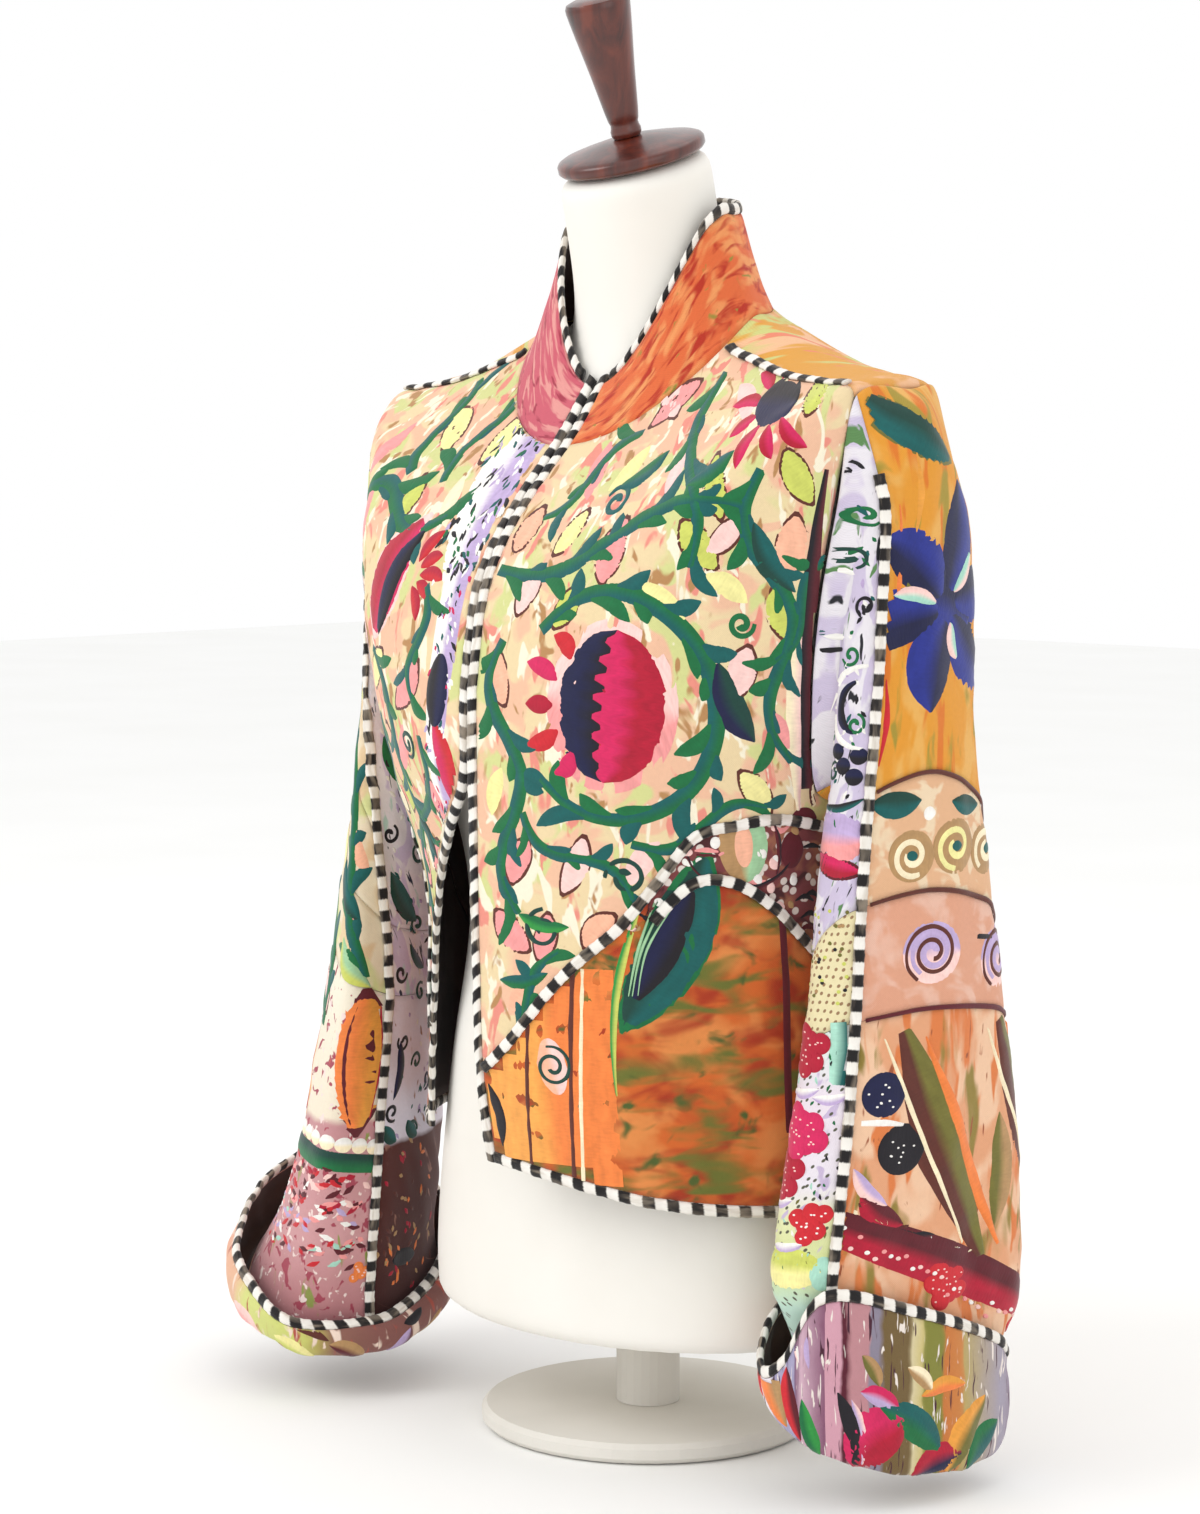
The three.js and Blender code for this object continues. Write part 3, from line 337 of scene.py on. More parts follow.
def column_turn(i, place, hand):
    ring = body_ring(place)
    back = i - front_columns - side_columns
    if back > 0:
        return 90 + ring["armhole"] + (90 - ring["armhole"]) * back / back_columns
    if i >= front_columns:
        return 90 + ring["armhole"] * (i - front_columns - 1)
    gap, half = (ring["open_left"], ring["left"]) if hand > 0 else (ring["open_right"], ring["right"])
    start = math.degrees(math.asin((gap / half) ** (ring["square"] / 2)))
    return start + (90 - ring["armhole"] - start) * front_shares[i]


def seam_level(i, hand, seam):
    share = front_shares[i] if i < front_columns else 1 + min(i - front_columns, 1) * 0.2
    rise = np.interp(share, [place for place, _ in seam], [height for _, height in seam])
    low, high = neck_row, 11
    for _ in range(30):
        middle = (low + high) / 2
        if body_point(middle, column_turn(i, middle, hand), hand)[2] - shoulder_height > rise:
            low = middle
        else:
            high = middle
    return (low + high) / 2


body_net = np.zeros((16, 2 * half_columns + 1, 3))
for column in range(2 * half_columns + 1):
    hand = 1 if column <= half_columns else -1
    i = column if hand > 0 else 2 * half_columns - column
    marks = [2, seam_level(i, hand, slant_seam), seam_level(i, hand, patch_seam), 11]
    for row, own in enumerate(side_levels):
        place = own if own <= 2 else float(np.interp(own, [2, 8.3, 9.45, 11], marks))
        body_net[row, column] = body_point(place, column_turn(i, place, hand), hand)


# ---- The cloth itself ----
# Quilted cotton, about 2 mm through: every panel is a set of cells of a finely woven net, with an outer
# and an inner face and a turned edge. It sinks a little along its seams and puckers between its stitches.
def blend_weights(count, steps, closed):
    spans = count if closed else count - 1
    weights = np.zeros((spans * steps + 1, count))
    for line in range(spans * steps + 1):
        start = min(line // steps, spans - 1)
        t = line / steps - start
        values = (-t / 2 + t * t - t**3 / 2, 1 - 2.5 * t * t + 1.5 * t**3)
        values += (t / 2 + 2 * t * t - 1.5 * t**3, (t**3 - t * t) / 2)
        for offset, value in enumerate(values):
            i = start - 1 + offset
            weights[line, i % count if closed else min(max(i, 0), count - 1)] += value
    return weights


def unit(vectors):
    return vectors / np.maximum(np.linalg.norm(vectors, axis=-1, keepdims=True), 1e-12)


def net_normals(points, closed, flip):
    if closed:
        across = np.roll(points[:, :-1], -1, 1) - np.roll(points[:, :-1], 1, 1)
        across = np.concatenate([across, across[:, :1]], 1)
    else:
        across = np.gradient(points, axis=1)
    return flip * unit(np.cross(across, np.gradient(points, axis=0)))


def lengths_along(points, axis, level=False):
    steps = np.diff(points, axis=axis)
    if level:
        steps = steps[..., :2]
    total = np.cumsum(np.linalg.norm(steps, axis=-1), axis)
    return np.insert(total, 0, 0, axis)


def fine_net(coarse, steps, closed, flip):
    rows = blend_weights(coarse.shape[0], steps, False)
    columns = blend_weights(coarse.shape[1], steps, closed)
    points = np.einsum("ra,abk,cb->rck", rows, coarse, columns) / 1000
    return {"points": points, "normals": net_normals(points, closed, flip), "steps": steps,
            "closed": closed, "flip": flip}


def puckers(s, t, seed, height=0.28):
    draw = np.random.default_rng(seed)
    total = np.zeros_like(s)
    for _ in range(14):
        angle, size = draw.uniform(0, math.pi), draw.uniform(0.016, 0.045)
        wave = (s * math.cos(angle) + t * math.sin(angle)) * 2 * math.pi / size
        total += np.sin(wave + draw.uniform(0, 6.28) + 1.3 * np.sin(wave * 0.37))
    return total * height / 1000 / 3.7


def creases(s, t, table):
    total = np.zeros_like(s)
    for s0, t0, s1, t1, width, depth in np.array(table, float) / 1000:
        reach = max(math.hypot(s1 - s0, t1 - t0), 1e-9)
        along = ((s - s0) * (s1 - s0) + (t - t0) * (t1 - t0)) / reach
        aside = ((s - s0) * (t1 - t0) - (t - t0) * (s1 - s0)) / reach
        beyond = np.maximum(np.maximum(-along, along - reach), 0) / (2.5 * width)
        total += depth * np.exp(-((aside / width) ** 2) - beyond**2)
    return total


def shaped(net, height):
    net["points"] = net["points"] + net["normals"] * height[..., None]
    net["normals"] = net_normals(net["points"], net["closed"], net["flip"])


def mesh_piece(name, verts, faces, uvs=None, materials=(), indices=None, colours=None):
    mesh = bpy.data.meshes.new(name)
    mesh.from_pydata([tuple(v) for v in verts], [], [tuple(f) for f in faces])
    if uvs is not None:
        layer = mesh.uv_layers.new(name="cloth")
        layer.data.foreach_set("uv", np.asarray(uvs, np.float32).ravel())
    if colours is not None:
        layer = mesh.color_attributes.new("thread", "FLOAT_COLOR", "CORNER")
        layer.data.foreach_set("color", np.asarray(colours, np.float32).ravel())
    for material in materials:
        mesh.materials.append(material)
    if indices is not None:
        mesh.polygons.foreach_set("material_index", np.asarray(indices, np.int32))
    mesh.polygons.foreach_set("use_smooth", np.ones(len(mesh.polygons), bool))
    mesh.update()
    piece = bpy.data.objects.new(name, mesh)
    bpy.context.collection.objects.link(piece)
    return piece


half_wall, seam_gap = 0.0009, 0.00018


def panel(name, net, cells, uv, materials, replaces, seam_dip=0.6):
    """Cuts the given cells out of a net as one piece of cloth with two faces and a turned edge."""
    steps = net["steps"]
    points, normals = net["points"], net["normals"]
    rows, columns = points.shape[:2]
    inside = np.zeros((rows - 1, columns - 1), bool)
    for column, row in cells:
        inside[row * steps : (row + 1) * steps, column * steps : (column + 1) * steps] = True
    wraps = net["closed"] and inside[:, 0].any() and inside[:, -1].any()
    r, c = np.nonzero(inside)
    corners = np.stack([r * columns + c, (r + 1) * columns + c, (r + 1) * columns + c + 1,
        r * columns + c + 1], 1)
    raw = corners.copy()
    if wraps:
        corners = np.where(corners % columns == columns - 1, corners - columns + 1, corners)
    if net["flip"] > 0:
        corners, raw = corners[:, ::-1], raw[:, ::-1]
    used, flat = np.unique(corners, return_inverse=True)
    flat = flat.reshape(corners.shape)
    one = np.stack([flat, np.roll(flat, -1, 1)], -1).reshape(-1, 2)
    seen = {(a, b) for a, b in one.tolist()}
    rim = [(a, b) for a, b in one.tolist() if (b, a) not in seen]
    base, normal = points.reshape(-1, 3)[used].copy(), normals.reshape(-1, 3)[used]
    # the cloth stands back from its neighbours and dips along the seam
    on_rim = np.zeros(len(used), bool)
    on_rim[[a for a, _ in rim]] = True
    total, weight = np.zeros_like(base), np.zeros(len(used))
    near = np.zeros(len(used), bool)
    for k in range(4):
        a, b = flat[:, k], flat[:, (k + 1) % 4]
        for p, q in ((a, b), (b, a)):
            take = on_rim[p] & ~on_rim[q]
            np.add.at(total, p[take], base[q[take]])
            np.add.at(weight, p[take], 1)
            near[q[take]] = True
    pull = np.zeros_like(base)
    has = weight > 0
    pull[has] = unit(total[has] / weight[has, None] - base[has]) * seam_gap
    dip = np.where(on_rim, seam_dip, np.where(near, seam_dip * 0.3, 0)) / 1000
    base += pull - normal * dip[:, None]
    count = len(used)
    verts = np.concatenate([base + normal * half_wall, base - normal * half_wall])
    inner = flat[:, ::-1] + count
    edge = np.array([(b, a, a + count, b + count) for a, b in rim])
    faces = np.concatenate([flat, inner, edge])
    uv_all = uv.reshape(-1, 2)
    uv_at_used = np.zeros((count, 2))
    uv_at_used[flat.ravel()] = uv_all[raw.ravel()]
    uvs = np.concatenate([uv_all[raw], uv_all[raw][:, ::-1], uv_at_used[edge % count]])
    indices = np.concatenate([np.zeros(len(flat)), np.ones(len(flat)), np.zeros(len(edge))])
    piece = mesh_piece(name, verts, faces.tolist(), uvs, materials, indices)
    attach(piece, "root")
    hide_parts(replaces)
    # the flat piece it was cut from: its longest column, its widest row square to the columns, its area
    corner = points[:-1, :-1], points[1:, :-1], points[1:, 1:], points[:-1, 1:]
    cell_area = np.linalg.norm(np.cross(corner[2] - corner[0], corner[3] - corner[1]), axis=-1) / 2 * inside
    cell_length = (np.linalg.norm(corner[1] - corner[0], axis=-1) + np.linalg.norm(corner[2] - corner[3],
        axis=-1)) / 2
    width = float((cell_area / cell_length).sum(1).max())
    length = float((cell_length * inside).sum(0).max())
    area = float(cell_area.sum())
    # a strip with one flared end is cut askew, from a narrower piece
    width = min(width, 3 * area / length)
    return piece


def cell_block(first_column, last_column, first_row, last_row):
    return [(c, r) for r in range(first_row, last_row + 1) for c in range(first_column, last_column + 1)]


def shader_group(name, takes, gives, build):
    group = bpy.data.node_groups.new(name, "ShaderNodeTree")
    for key, default in takes.items():
        kind = "Vector" if default is None or isinstance(default, tuple) else "Float"
        socket = group.interface.new_socket(name=key, in_out="INPUT", socket_type="NodeSocket" + kind)
        if default is not None:
            socket.default_value = default
    for key, kind in gives.items():
        group.interface.new_socket(name=key, in_out="OUTPUT", socket_type="NodeSocket" + kind)
    build(group, group.nodes.new("NodeGroupInput").outputs, group.nodes.new("NodeGroupOutput").inputs)
    return group


def maths(tree, operation, one, two=None, three=None):
    given = {"_0": one} if two is None else {"_0": one, "_1": two}
    if three is not None:
        given["_2"] = three
    return node_at(tree, "ShaderNodeMath", {"operation": operation}, **given).outputs[0]


def build_weave(tree, given, out):
    # a plain weave: two sets of threads that pass over each other, a little uneven; where the weave lies low it
    # darkens the colour, as painted shade between the threads
    pitch = maths(tree, "DIVIDE", 6.2832, given["Pitch"])
    drift = node_at(tree, "ShaderNodeTexNoise", Vector=given["Vector"], Scale=160.0, Detail=2.0)
    moved = node_at(tree, "ShaderNodeVectorMath", {"operation": "SCALE"}, _0=drift.outputs["Color"],
        Scale=0.0011)
    place = node_at(tree, "ShaderNodeVectorMath", {"operation": "ADD"}, _0=given["Vector"],
        _1=moved.outputs[0])
    axes = node_at(tree, "ShaderNodeSeparateXYZ", Vector=place.outputs[0])
    warp = maths(tree, "SINE", maths(tree, "MULTIPLY", axes.outputs["X"], pitch))
    weft = maths(tree, "SINE", maths(tree, "MULTIPLY", axes.outputs["Y"], pitch))
    crossing = maths(tree, "MULTIPLY", warp, weft)
    slub = node_at(tree, "ShaderNodeTexNoise", Vector=given["Vector"], Scale=420.0, Detail=3.0)
    total = maths(tree, "ADD", maths(tree, "MULTIPLY", crossing, 0.5), slub.outputs["Fac"])
    tree.links.new(total, out["Height"])
    painted_shade = node_at(tree, "ShaderNodeMapRange", Value=total)
    for key, value in (("From Min", -0.1), ("From Max", 1.1), ("To Min", 0.9), ("To Max", 1.04)):
        painted_shade.inputs[key].default_value = value
    tree.links.new(painted_shade.outputs[0], out["Painted Shade"])


weave_group = shader_group("plain_weave", {"Vector": None, "Pitch": 0.0011},
    {"Height": "Float", "Painted Shade": "Float"}, build_weave)


def build_blotches(tree, given, out):
    # soft or sharp blots: stretched noise, cut off at a level
    scaled = node_at(tree, "ShaderNodeVectorMath", {"operation": "DIVIDE"}, _0=given["Vector"],
        _1=given["Size"])
    moved = node_at(tree, "ShaderNodeVectorMath", {"operation": "ADD"}, _0=scaled.outputs[0],
        _1=given["Start"])
    cloud = node_at(tree, "ShaderNodeTexNoise", Vector=moved.outputs[0], Scale=1.0, Detail=2.5,
        Distortion=0.6)
    low = maths(tree, "SUBTRACT", given["Level"], given["Softness"])
    high = maths(tree, "ADD", given["Level"], given["Softness"])
    cut = node_at(tree, "ShaderNodeMapRange", {"interpolation_type": "SMOOTHSTEP"}, _0=cloud.outputs["Fac"],
        _1=low, _2=high)
    tree.links.new(cut.outputs[0], out["Mask"])


blotch_group = shader_group("blotches",
    {"Vector": None, "Size": (0.02, 0.02, 1), "Start": (0, 0, 0), "Level": 0.5, "Softness": 0.1},
    {"Mask": "Float"}, build_blotches)


def build_spots(tree, given, out):
    # small round spots in rows, a little uneven
    scaled = node_at(tree, "ShaderNodeVectorMath", {"operation": "DIVIDE"}, _0=given["Vector"],
        _1=given["Spacing"])
    cells = node_at(tree, "ShaderNodeTexVoronoi", {"voronoi_dimensions": "2D"}, Vector=scaled.outputs[0],
        Scale=1.0,
                    Randomness=given["Scatter"])
    high = maths(tree, "ADD", given["Radius"], 0.07)
    cut = node_at(tree, "ShaderNodeMapRange", {"interpolation_type": "SMOOTHSTEP"},
        _0=cells.outputs["Distance"],
                  _1=high, _2=given["Radius"])
    tree.links.new(cut.outputs[0], out["Mask"])
    tree.links.new(cells.outputs["Color"], out["Draw"])


spot_group = shader_group("spots",
    {"Vector": None, "Spacing": (0.006, 0.006, 1), "Radius": 0.25, "Scatter": 0.2},
    {"Mask": "Float", "Draw": "Color"}, build_spots)


def build_stripes(tree, given, out):
    # a repeat across the cloth at an angle, 0 to 1 over each stripe, its lines wandering a little
    turned = node_at(tree, "ShaderNodeVectorRotate", {"rotation_type": "Z_AXIS"}, Vector=given["Vector"],
        Angle=given["Angle"])
    drift = node_at(tree, "ShaderNodeTexNoise", Vector=given["Vector"], Scale=55.0, Detail=2.0)
    aside = maths(tree, "MULTIPLY", maths(tree, "SUBTRACT", drift.outputs["Fac"], 0.5), given["Wander"])
    axis = node_at(tree, "ShaderNodeSeparateXYZ", Vector=turned.outputs[0]).outputs["X"]
    place = maths(tree, "DIVIDE", maths(tree, "ADD", axis, aside), given["Period"])
    tree.links.new(maths(tree, "FRACT", place), out["Share"])
    tree.links.new(place, out["Count"])


stripe_group = shader_group("stripes", {"Vector": None, "Angle": 0, "Period": 0.02, "Wander": 0.004},
    {"Share": "Float", "Count": "Float"}, build_stripes)


def use_group(tree, group, **inputs):
    return node_at(tree, "ShaderNodeGroup", {"node_tree": group}, **inputs)


def mixed(tree, mask, under, over):
    node = tree.nodes.new("ShaderNodeMix")
    node.data_type = "RGBA"
    for key, value in ((0, mask), (6, under), (7, over)):
        if isinstance(value, bpy.types.NodeSocket):
            tree.links.new(value, node.inputs[key])
        elif key == 0:
            node.inputs[key].default_value = value
        else:
            node.inputs[key].default_value = srgb(value)
    return node.outputs[2]


def cotton(name, ground, layers, pitch=0.0011, roughness=0.82, sheen=0.15, bump=0.0003):
    """A cotton: its ground colour, then layers of blots, spots, stripes or bands printed over it in turn."""
    material, shader = new_material(name, roughness, sheen=sheen, specular=0.25)
    tree = material.node_tree
    place = node_at(tree, "ShaderNodeUVMap", {"uv_map": "cloth"}).outputs["UV"]
    colour = ground
    for number, (kind, hue, *given) in enumerate(layers):
        if kind == "blots":
            size, level, softness = given
            start = (number * 7.3, number * 3.1, 0)
            mask = use_group(tree, blotch_group, Vector=place, Size=size + (1,), Start=start, Level=level,
                             Softness=softness).outputs["Mask"]
            colour = mixed(tree, mask, colour, hue)
        elif kind == "spots":
            spacing, radius, scatter = given
            mask = use_group(tree, spot_group, Vector=place, Spacing=spacing + (1,), Radius=radius,
                             Scatter=scatter).outputs["Mask"]
            colour = mixed(tree, mask, colour, hue)
        elif kind == "stripes":
            angle, period, wander, stops = given
            share = use_group(tree, stripe_group, Vector=place, Angle=math.radians(angle), Period=period,
                              Wander=wander).outputs["Share"]
            stripe = ramp_at(tree, share, stops, "LINEAR")
            colour = mixed(tree, hue, colour, stripe)
        elif kind == "bands":
            axis, low, high, stops, wander = given
            count = use_group(tree, stripe_group, Vector=place, Angle=math.radians(axis), Period=high - low,
                              Wander=wander).outputs["Count"]
            moved = maths(tree, "SUBTRACT", count, low / (high - low))
            colour = mixed(tree, hue, colour, ramp_at(tree, moved, stops, "LINEAR"))
    weave = use_group(tree, weave_group, Vector=place, Pitch=pitch)
    # the weave's painted shade darkens the colour where the threads lie low
    toned = node_at(tree, "ShaderNodeHueSaturation", Value=weave.outputs["Painted Shade"])
    if isinstance(colour, str):
        toned.inputs["Color"].default_value = srgb(colour)
    else:
        tree.links.new(colour, toned.inputs["Color"])
    tree.links.new(toned.outputs["Color"], shader.inputs["Base Color"])
    relief = node_at(tree, "ShaderNodeBump", Height=weave.outputs["Height"], Strength=0.5, Distance=bump)
    tree.links.new(relief.outputs["Normal"], shader.inputs["Normal"])
    return material


lining = cotton("brown_lining", "#3a2620", [("blots", "#4a3229", (0.05, 0.05), 0.5, 0.15)])

fine_steps = 8
body = fine_net(body_net, fine_steps, False, -1)
depth = shoulder_height / 1000 - body["points"][..., 2]
round_body = lengths_along(body["points"], 1, level=True)
left_chart = np.stack([round_body, depth], -1)
middle = half_columns * fine_steps
back_chart = np.stack([round_body - round_body[:, middle : middle + 1], depth], -1)
# The right front swings open lower down, so its cloth is measured from where its edge would hang closed.
left_reach, right_reach = -back_chart[:, :1, 0], back_chart[:, -1:, 0].copy()
right_reach[60:] = left_reach[60:] - (left_reach - right_reach)[60]
right_chart = np.stack([right_reach - back_chart[..., 0], depth], -1)
down_cloth = lengths_along(body["points"], 0)
down_cloth += (depth - down_cloth)[shoulder_row * fine_steps]

# Creases pressed and pulled into the fronts and back: from (s, t) to (s, t), half width, height.
# s is measured round the body from the front edge (or the centre back), t down from the shoulder.
left_creases = [
    (40, 60, 120, 130, 14, 1.2), (150, 90, 168, 190, 10, 2.2), (178, 110, 190, 215, 7, -1.8),
    (120, 215, 170, 250, 11, 1.5), (60, 260, 110, 330, 14, 1.4), (20, 300, 30, 420, 12, 1.2),
    (95, 330, 100, 440, 10, 1.8), (70, 350, 76, 450, 7, -1.2), (130, 320, 142, 440, 9, -1.4),
]
right_creases = [
    (50, 70, 120, 140, 13, 1.2), (140, 90, 160, 200, 10, 2), (100, 230, 140, 270, 11, 1.4),
    (30, 240, 40, 430, 11, 1.6), (60, 300, 70, 440, 9, -1.2),
]
back_creases = [
    (-70, 90, -30, 190, 16, 1.6), (75, 90, 35, 190, 16, 1.6), (0, 190, 4, 430, 13, 1.5),
    (-60, 250, -75, 440, 12, 2), (62, 250, 80, 440, 12, 2), (-120, 230, -135, 420, 11, -1.6),
    (122, 230, 138, 420, 11, -1.6), (-150, 120, -160, 220, 9, 1.8), (150, 120, 160, 220, 9, 1.8),
]
front_share = np.clip((np.arange(body["points"].shape[1]) - 8 * fine_steps) / (3 * fine_steps), 0, 1)
left_side = 1 - front_share
right_side = left_side[::-1]
fade = np.clip((depth - 0.02) / 0.06, 0, 1)
lift = creases(*np.moveaxis(left_chart, -1, 0), left_creases) * left_side
lift += creases(*np.moveaxis(right_chart, -1, 0), right_creases) * right_side
lift += creases(*np.moveaxis(back_chart, -1, 0), back_creases) * (1 - left_side) * (1 - right_side)
lift = np.where(depth < 0.24, np.maximum(lift, -0.0002), lift) * fade
shaped(body, lift + puckers(back_chart[..., 0], depth, 3) * np.clip((depth + 0.03) / 0.05, 0.3, 1))


def trim(name, points, normals, aside, half_width, half_height, replaces, loop=False, squared=0.8):
    """A covered cord or a folded edge binding of striped cloth, drawn along a line on the cloth."""
    line = points if not loop else np.concatenate([points, points[:1]])
    at = lengths_along(line, 0)
    count = max(int(at[-1] / 0.0016), 8)
    stations = np.linspace(0, at[-1], count, endpoint=not loop)
    close = (lambda v: np.concatenate([v, v[:1]])) if loop else (lambda v: v)
    p, n, a = (np.stack([np.interp(stations, at, close(v)[:, k]) for k in range(3)], 1) for v in (points,
        normals, aside))
    n = unit(n)
    a = unit(a - (a * n).sum(1, keepdims=True) * n)
    angles = np.arange(12) * math.pi / 6
    # the cord draws in slightly between its blocks and bulges a little where it is held by stitches
    swell = 1 + 0.05 * np.sin(stations * 2 * math.pi / 0.006 + 1)[:, None, None]
    wide = np.sign(np.cos(angles)) * np.abs(np.cos(angles)) ** squared * half_width
    high = np.sign(np.sin(angles)) * np.abs(np.sin(angles)) ** squared * half_height
    rings = p[:, None] + a[:, None] * wide[None, :, None] * swell + n[:, None] * high[None, :, None] * swell
    verts = rings.reshape(-1, 3)
    faces, uvs = [], []
    spans = count if loop else count - 1
    for k in range(spans):
        here, there = k * 12, ((k + 1) % count) * 12
        u0, u1 = stations[k], (at[-1] if k + 1 == count else stations[(k + 1) % count])
        for j in range(12):
            m = (j + 1) % 12
            faces.append((here + j, here + m, there + m, there + j))
            uvs += [(u0, j / 12), (u0, (j + 1) / 12), (u1, (j + 1) / 12), (u1, j / 12)]
    if not loop:
        end = (count - 1) * 12
        faces += [tuple(range(11, -1, -1)), tuple(range(end, end + 12))]
        uvs += [(0, 0)] * 12 + [(at[-1], 0)] * 12
    volume = sum(
        float(np.dot(verts[f[0]], np.cross(verts[f[i]], verts[f[i + 1]]))) for f in faces for i in range(1,
            len(f) - 1)
    )
    if volume < 0:
        turned, k = [], 0
        for f in faces:
            turned += uvs[k : k + len(f)][::-1]
            k += len(f)
        faces, uvs = [f[::-1] for f in faces], turned
    piece = mesh_piece(name, verts, faces, uvs, [striped_braid])
    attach(piece, "root")
    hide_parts(replaces)
    return piece


striped_braid, braid_shader = new_material("striped_braid", 0.75, sheen=0.2, specular=0.25)
tree = striped_braid.node_tree
place = node_at(tree, "ShaderNodeUVMap", {"uv_map": "cloth"}).outputs["UV"]
blocks = use_group(tree, stripe_group, Vector=place, Angle=0.0, Period=0.0144, Wander=0.0018).outputs["Share"]
braid_tone = ramp_at(tree, blocks,
    [(0.0, "#1a1717"), (0.44, "#1d191a"), (0.5, "#efeae2"), (0.94, "#f6f2ea"), (1.0, "#1a1717")])
soil = use_group(tree, blotch_group, Vector=place, Size=(0.03, 0.4, 1.0), Level=0.58,
    Softness=0.1).outputs["Mask"]
braid_tone = mixed(tree, maths(tree, "MULTIPLY", soil, 0.5), braid_tone, "#b9a995")
tree.links.new(braid_tone, braid_shader.inputs["Base Color"])
twill = node_at(tree, "ShaderNodeTexNoise", Vector=place, Scale=700.0, Detail=2.0)
relief = node_at(tree, "ShaderNodeBump", Height=twill.outputs["Fac"], Strength=0.5, Distance=0.0003)
tree.links.new(relief.outputs["Normal"], braid_shader.inputs["Normal"])


# ---- The fronts ----
# Three pieces a side: a large painted upper front, a long spotted patch let in along two slanting seams,
# and a lower front of coarse dyed cotton. The seams are covered with striped piping.
front_print = cotton("front_print", "#ecd5a8", [
    ("blots", "#efbf9f", (0.035, 0.03), 0.5, 0.04),
    ("blots", "#d6d892", (0.03, 0.045), 0.57, 0.03),
    ("blots", "#ea9282", (0.016, 0.040), 0.60, 0.02),
    ("blots", "#f8efd6", (0.012, 0.030), 0.60, 0.02),
    ("blots", "#b98a5a", (0.012, 0.026), 0.63, 0.03),
])
patch_print = cotton("patch_print", "#7c3f41", [
    ("blots", "#a0694f", (0.03, 0.02), 0.55, 0.06),
    ("blots", "#4d2629", (0.02, 0.016), 0.6, 0.04),
    ("spots", "#e2d6cd", (0.009, 0.009), 0.22, 0.9),
])
hem_print = cotton("hem_print", "#d2682c", [
    ("blots", "#e08c4a", (0.04, 0.03), 0.54, 0.12),
    ("blots", "#a93a1e", (0.034, 0.022), 0.55, 0.12),
    ("blots", "#6c7030", (0.050, 0.016), 0.57, 0.10),
    ("blots", "#4f5f2c", (0.020, 0.014), 0.63, 0.08),
])


def columns_of(hand, first, last):
    return (first, last) if hand > 0 else (2 * half_columns - 1 - last, 2 * half_columns - 1 - first)


def body_block(hand, first, last, first_row, last_row):
    return cell_block(*columns_of(hand, first, last), first_row, last_row)


def net_line(net, columns, rows):
    r, c = np.broadcast_arrays(rows, columns)
    return net["points"][r, c], net["normals"][r, c]


piping_size, binding_size = (0.0034, 0.0014), (0.0036, 0.0022)


def seam_piping(name, net, rows, columns, replaces, trim_ends=(0.002, 0.002), raise_by=0.0020):
    points, normals = net_line(net, columns, rows)
    along = unit(np.gradient(points, axis=0))
    aside = unit(np.cross(normals, along))
    keep = lengths_along(points, 0)
    inside = (keep >= trim_ends[0]) & (keep <= keep[-1] - trim_ends[1])
    lifted = points + normals * raise_by
    return trim(name, lifted[inside], normals[inside], aside[inside], *piping_size, replaces)


def edge_binding(name, net, rows, columns, inner_rows, inner_columns, replaces, loop=False, push=(0, 0),
    trim_ends=(0, 0)):
    points, normals = net_line(net, columns, rows)
    inner, _ = net_line(net, inner_columns, inner_rows)
    away = points - inner
    away = unit(away - (away * normals).sum(1, keepdims=True) * normals)
    centre = points + away * binding_size[0]
    keep = lengths_along(centre, 0)
    inside = (keep >= trim_ends[0]) & (keep <= keep[-1] - trim_ends[1])
    centre, normals, away = centre[inside], normals[inside], away[inside]
    for end, reach in zip((0, -1), push):
        if reach:
            beyond = centre[end] + unit(centre[end] - centre[1 if end == 0 else -2]) * reach
            parts = [beyond[None], centre] if end == 0 else [centre, beyond[None]]
            centre = np.concatenate(parts)
            normals = np.concatenate([normals[:1], normals] if end == 0 else [normals, normals[-1:]])
            away = np.concatenate([away[:1], away] if end == 0 else [away, away[-1:]])
    return trim(name, centre, normals, away, *binding_size, replaces, loop)


far = 2 * half_columns * fine_steps
for side, hand, chart in (("left", 1, left_chart), ("right", -1, right_chart)):
    upper = body_block(hand, 0, 8, neck_row, slant_row - 1)
    upper += body_block(hand, 9, 9, underarm_row, underarm_row)
    patch = body_block(hand, patch_start, 9, slant_row, patch_row - 1)
    lower = body_block(hand, 0, patch_start - 1, slant_row, patch_row - 1)
    lower += body_block(hand, 0, 9, patch_row, hem_row - 1)
    for part, cells, print_, slot in (
        ("upper", upper, front_print, "front_cloth"),
        ("patch", patch, patch_print, "patch_cloth"),
        ("lower", lower, hem_print, "hem_cloth"),
    ):
        name = f"front_{side}_{part}"
        panel(f"cloth_{name}", body, cells, np.stack([chart[..., 0], down_cloth], -1),
            [print_, lining], name)

for side, hand in (("left", 1), ("right", -1)):
    column = (lambda i: i * fine_steps) if hand > 0 else (lambda i: far - i * fine_steps)
    edge = 0 if hand > 0 else far
    rows = np.arange(0, hem_row * fine_steps + 1)
    edge_binding(f"trim_front_{side}", body, rows, edge, rows, edge + 2 * hand, f"binding_front_{side}",
        push=(0.0068, 0.0068))
    columns = np.arange(0, (front_columns + 1) * fine_steps + 1)
    columns = columns if hand > 0 else far - columns
    seam_piping(f"trim_slant_{side}", body, slant_row * fine_steps, columns, f"piping_slant_{side}")
    columns = np.arange(patch_start * fine_steps, (front_columns + 1) * fine_steps + 1)
    columns = columns if hand > 0 else far - columns
    seam_piping(f"trim_patch_{side}", body, patch_row * fine_steps, columns, f"piping_patch_{side}")
    rows = np.arange(neck_row * fine_steps, shoulder_row * fine_steps + 1)
    seam_piping(f"trim_shoulder_{side}", body, rows, column(front_columns), f"piping_shoulder_{side}",
        (0.002, 0.009))
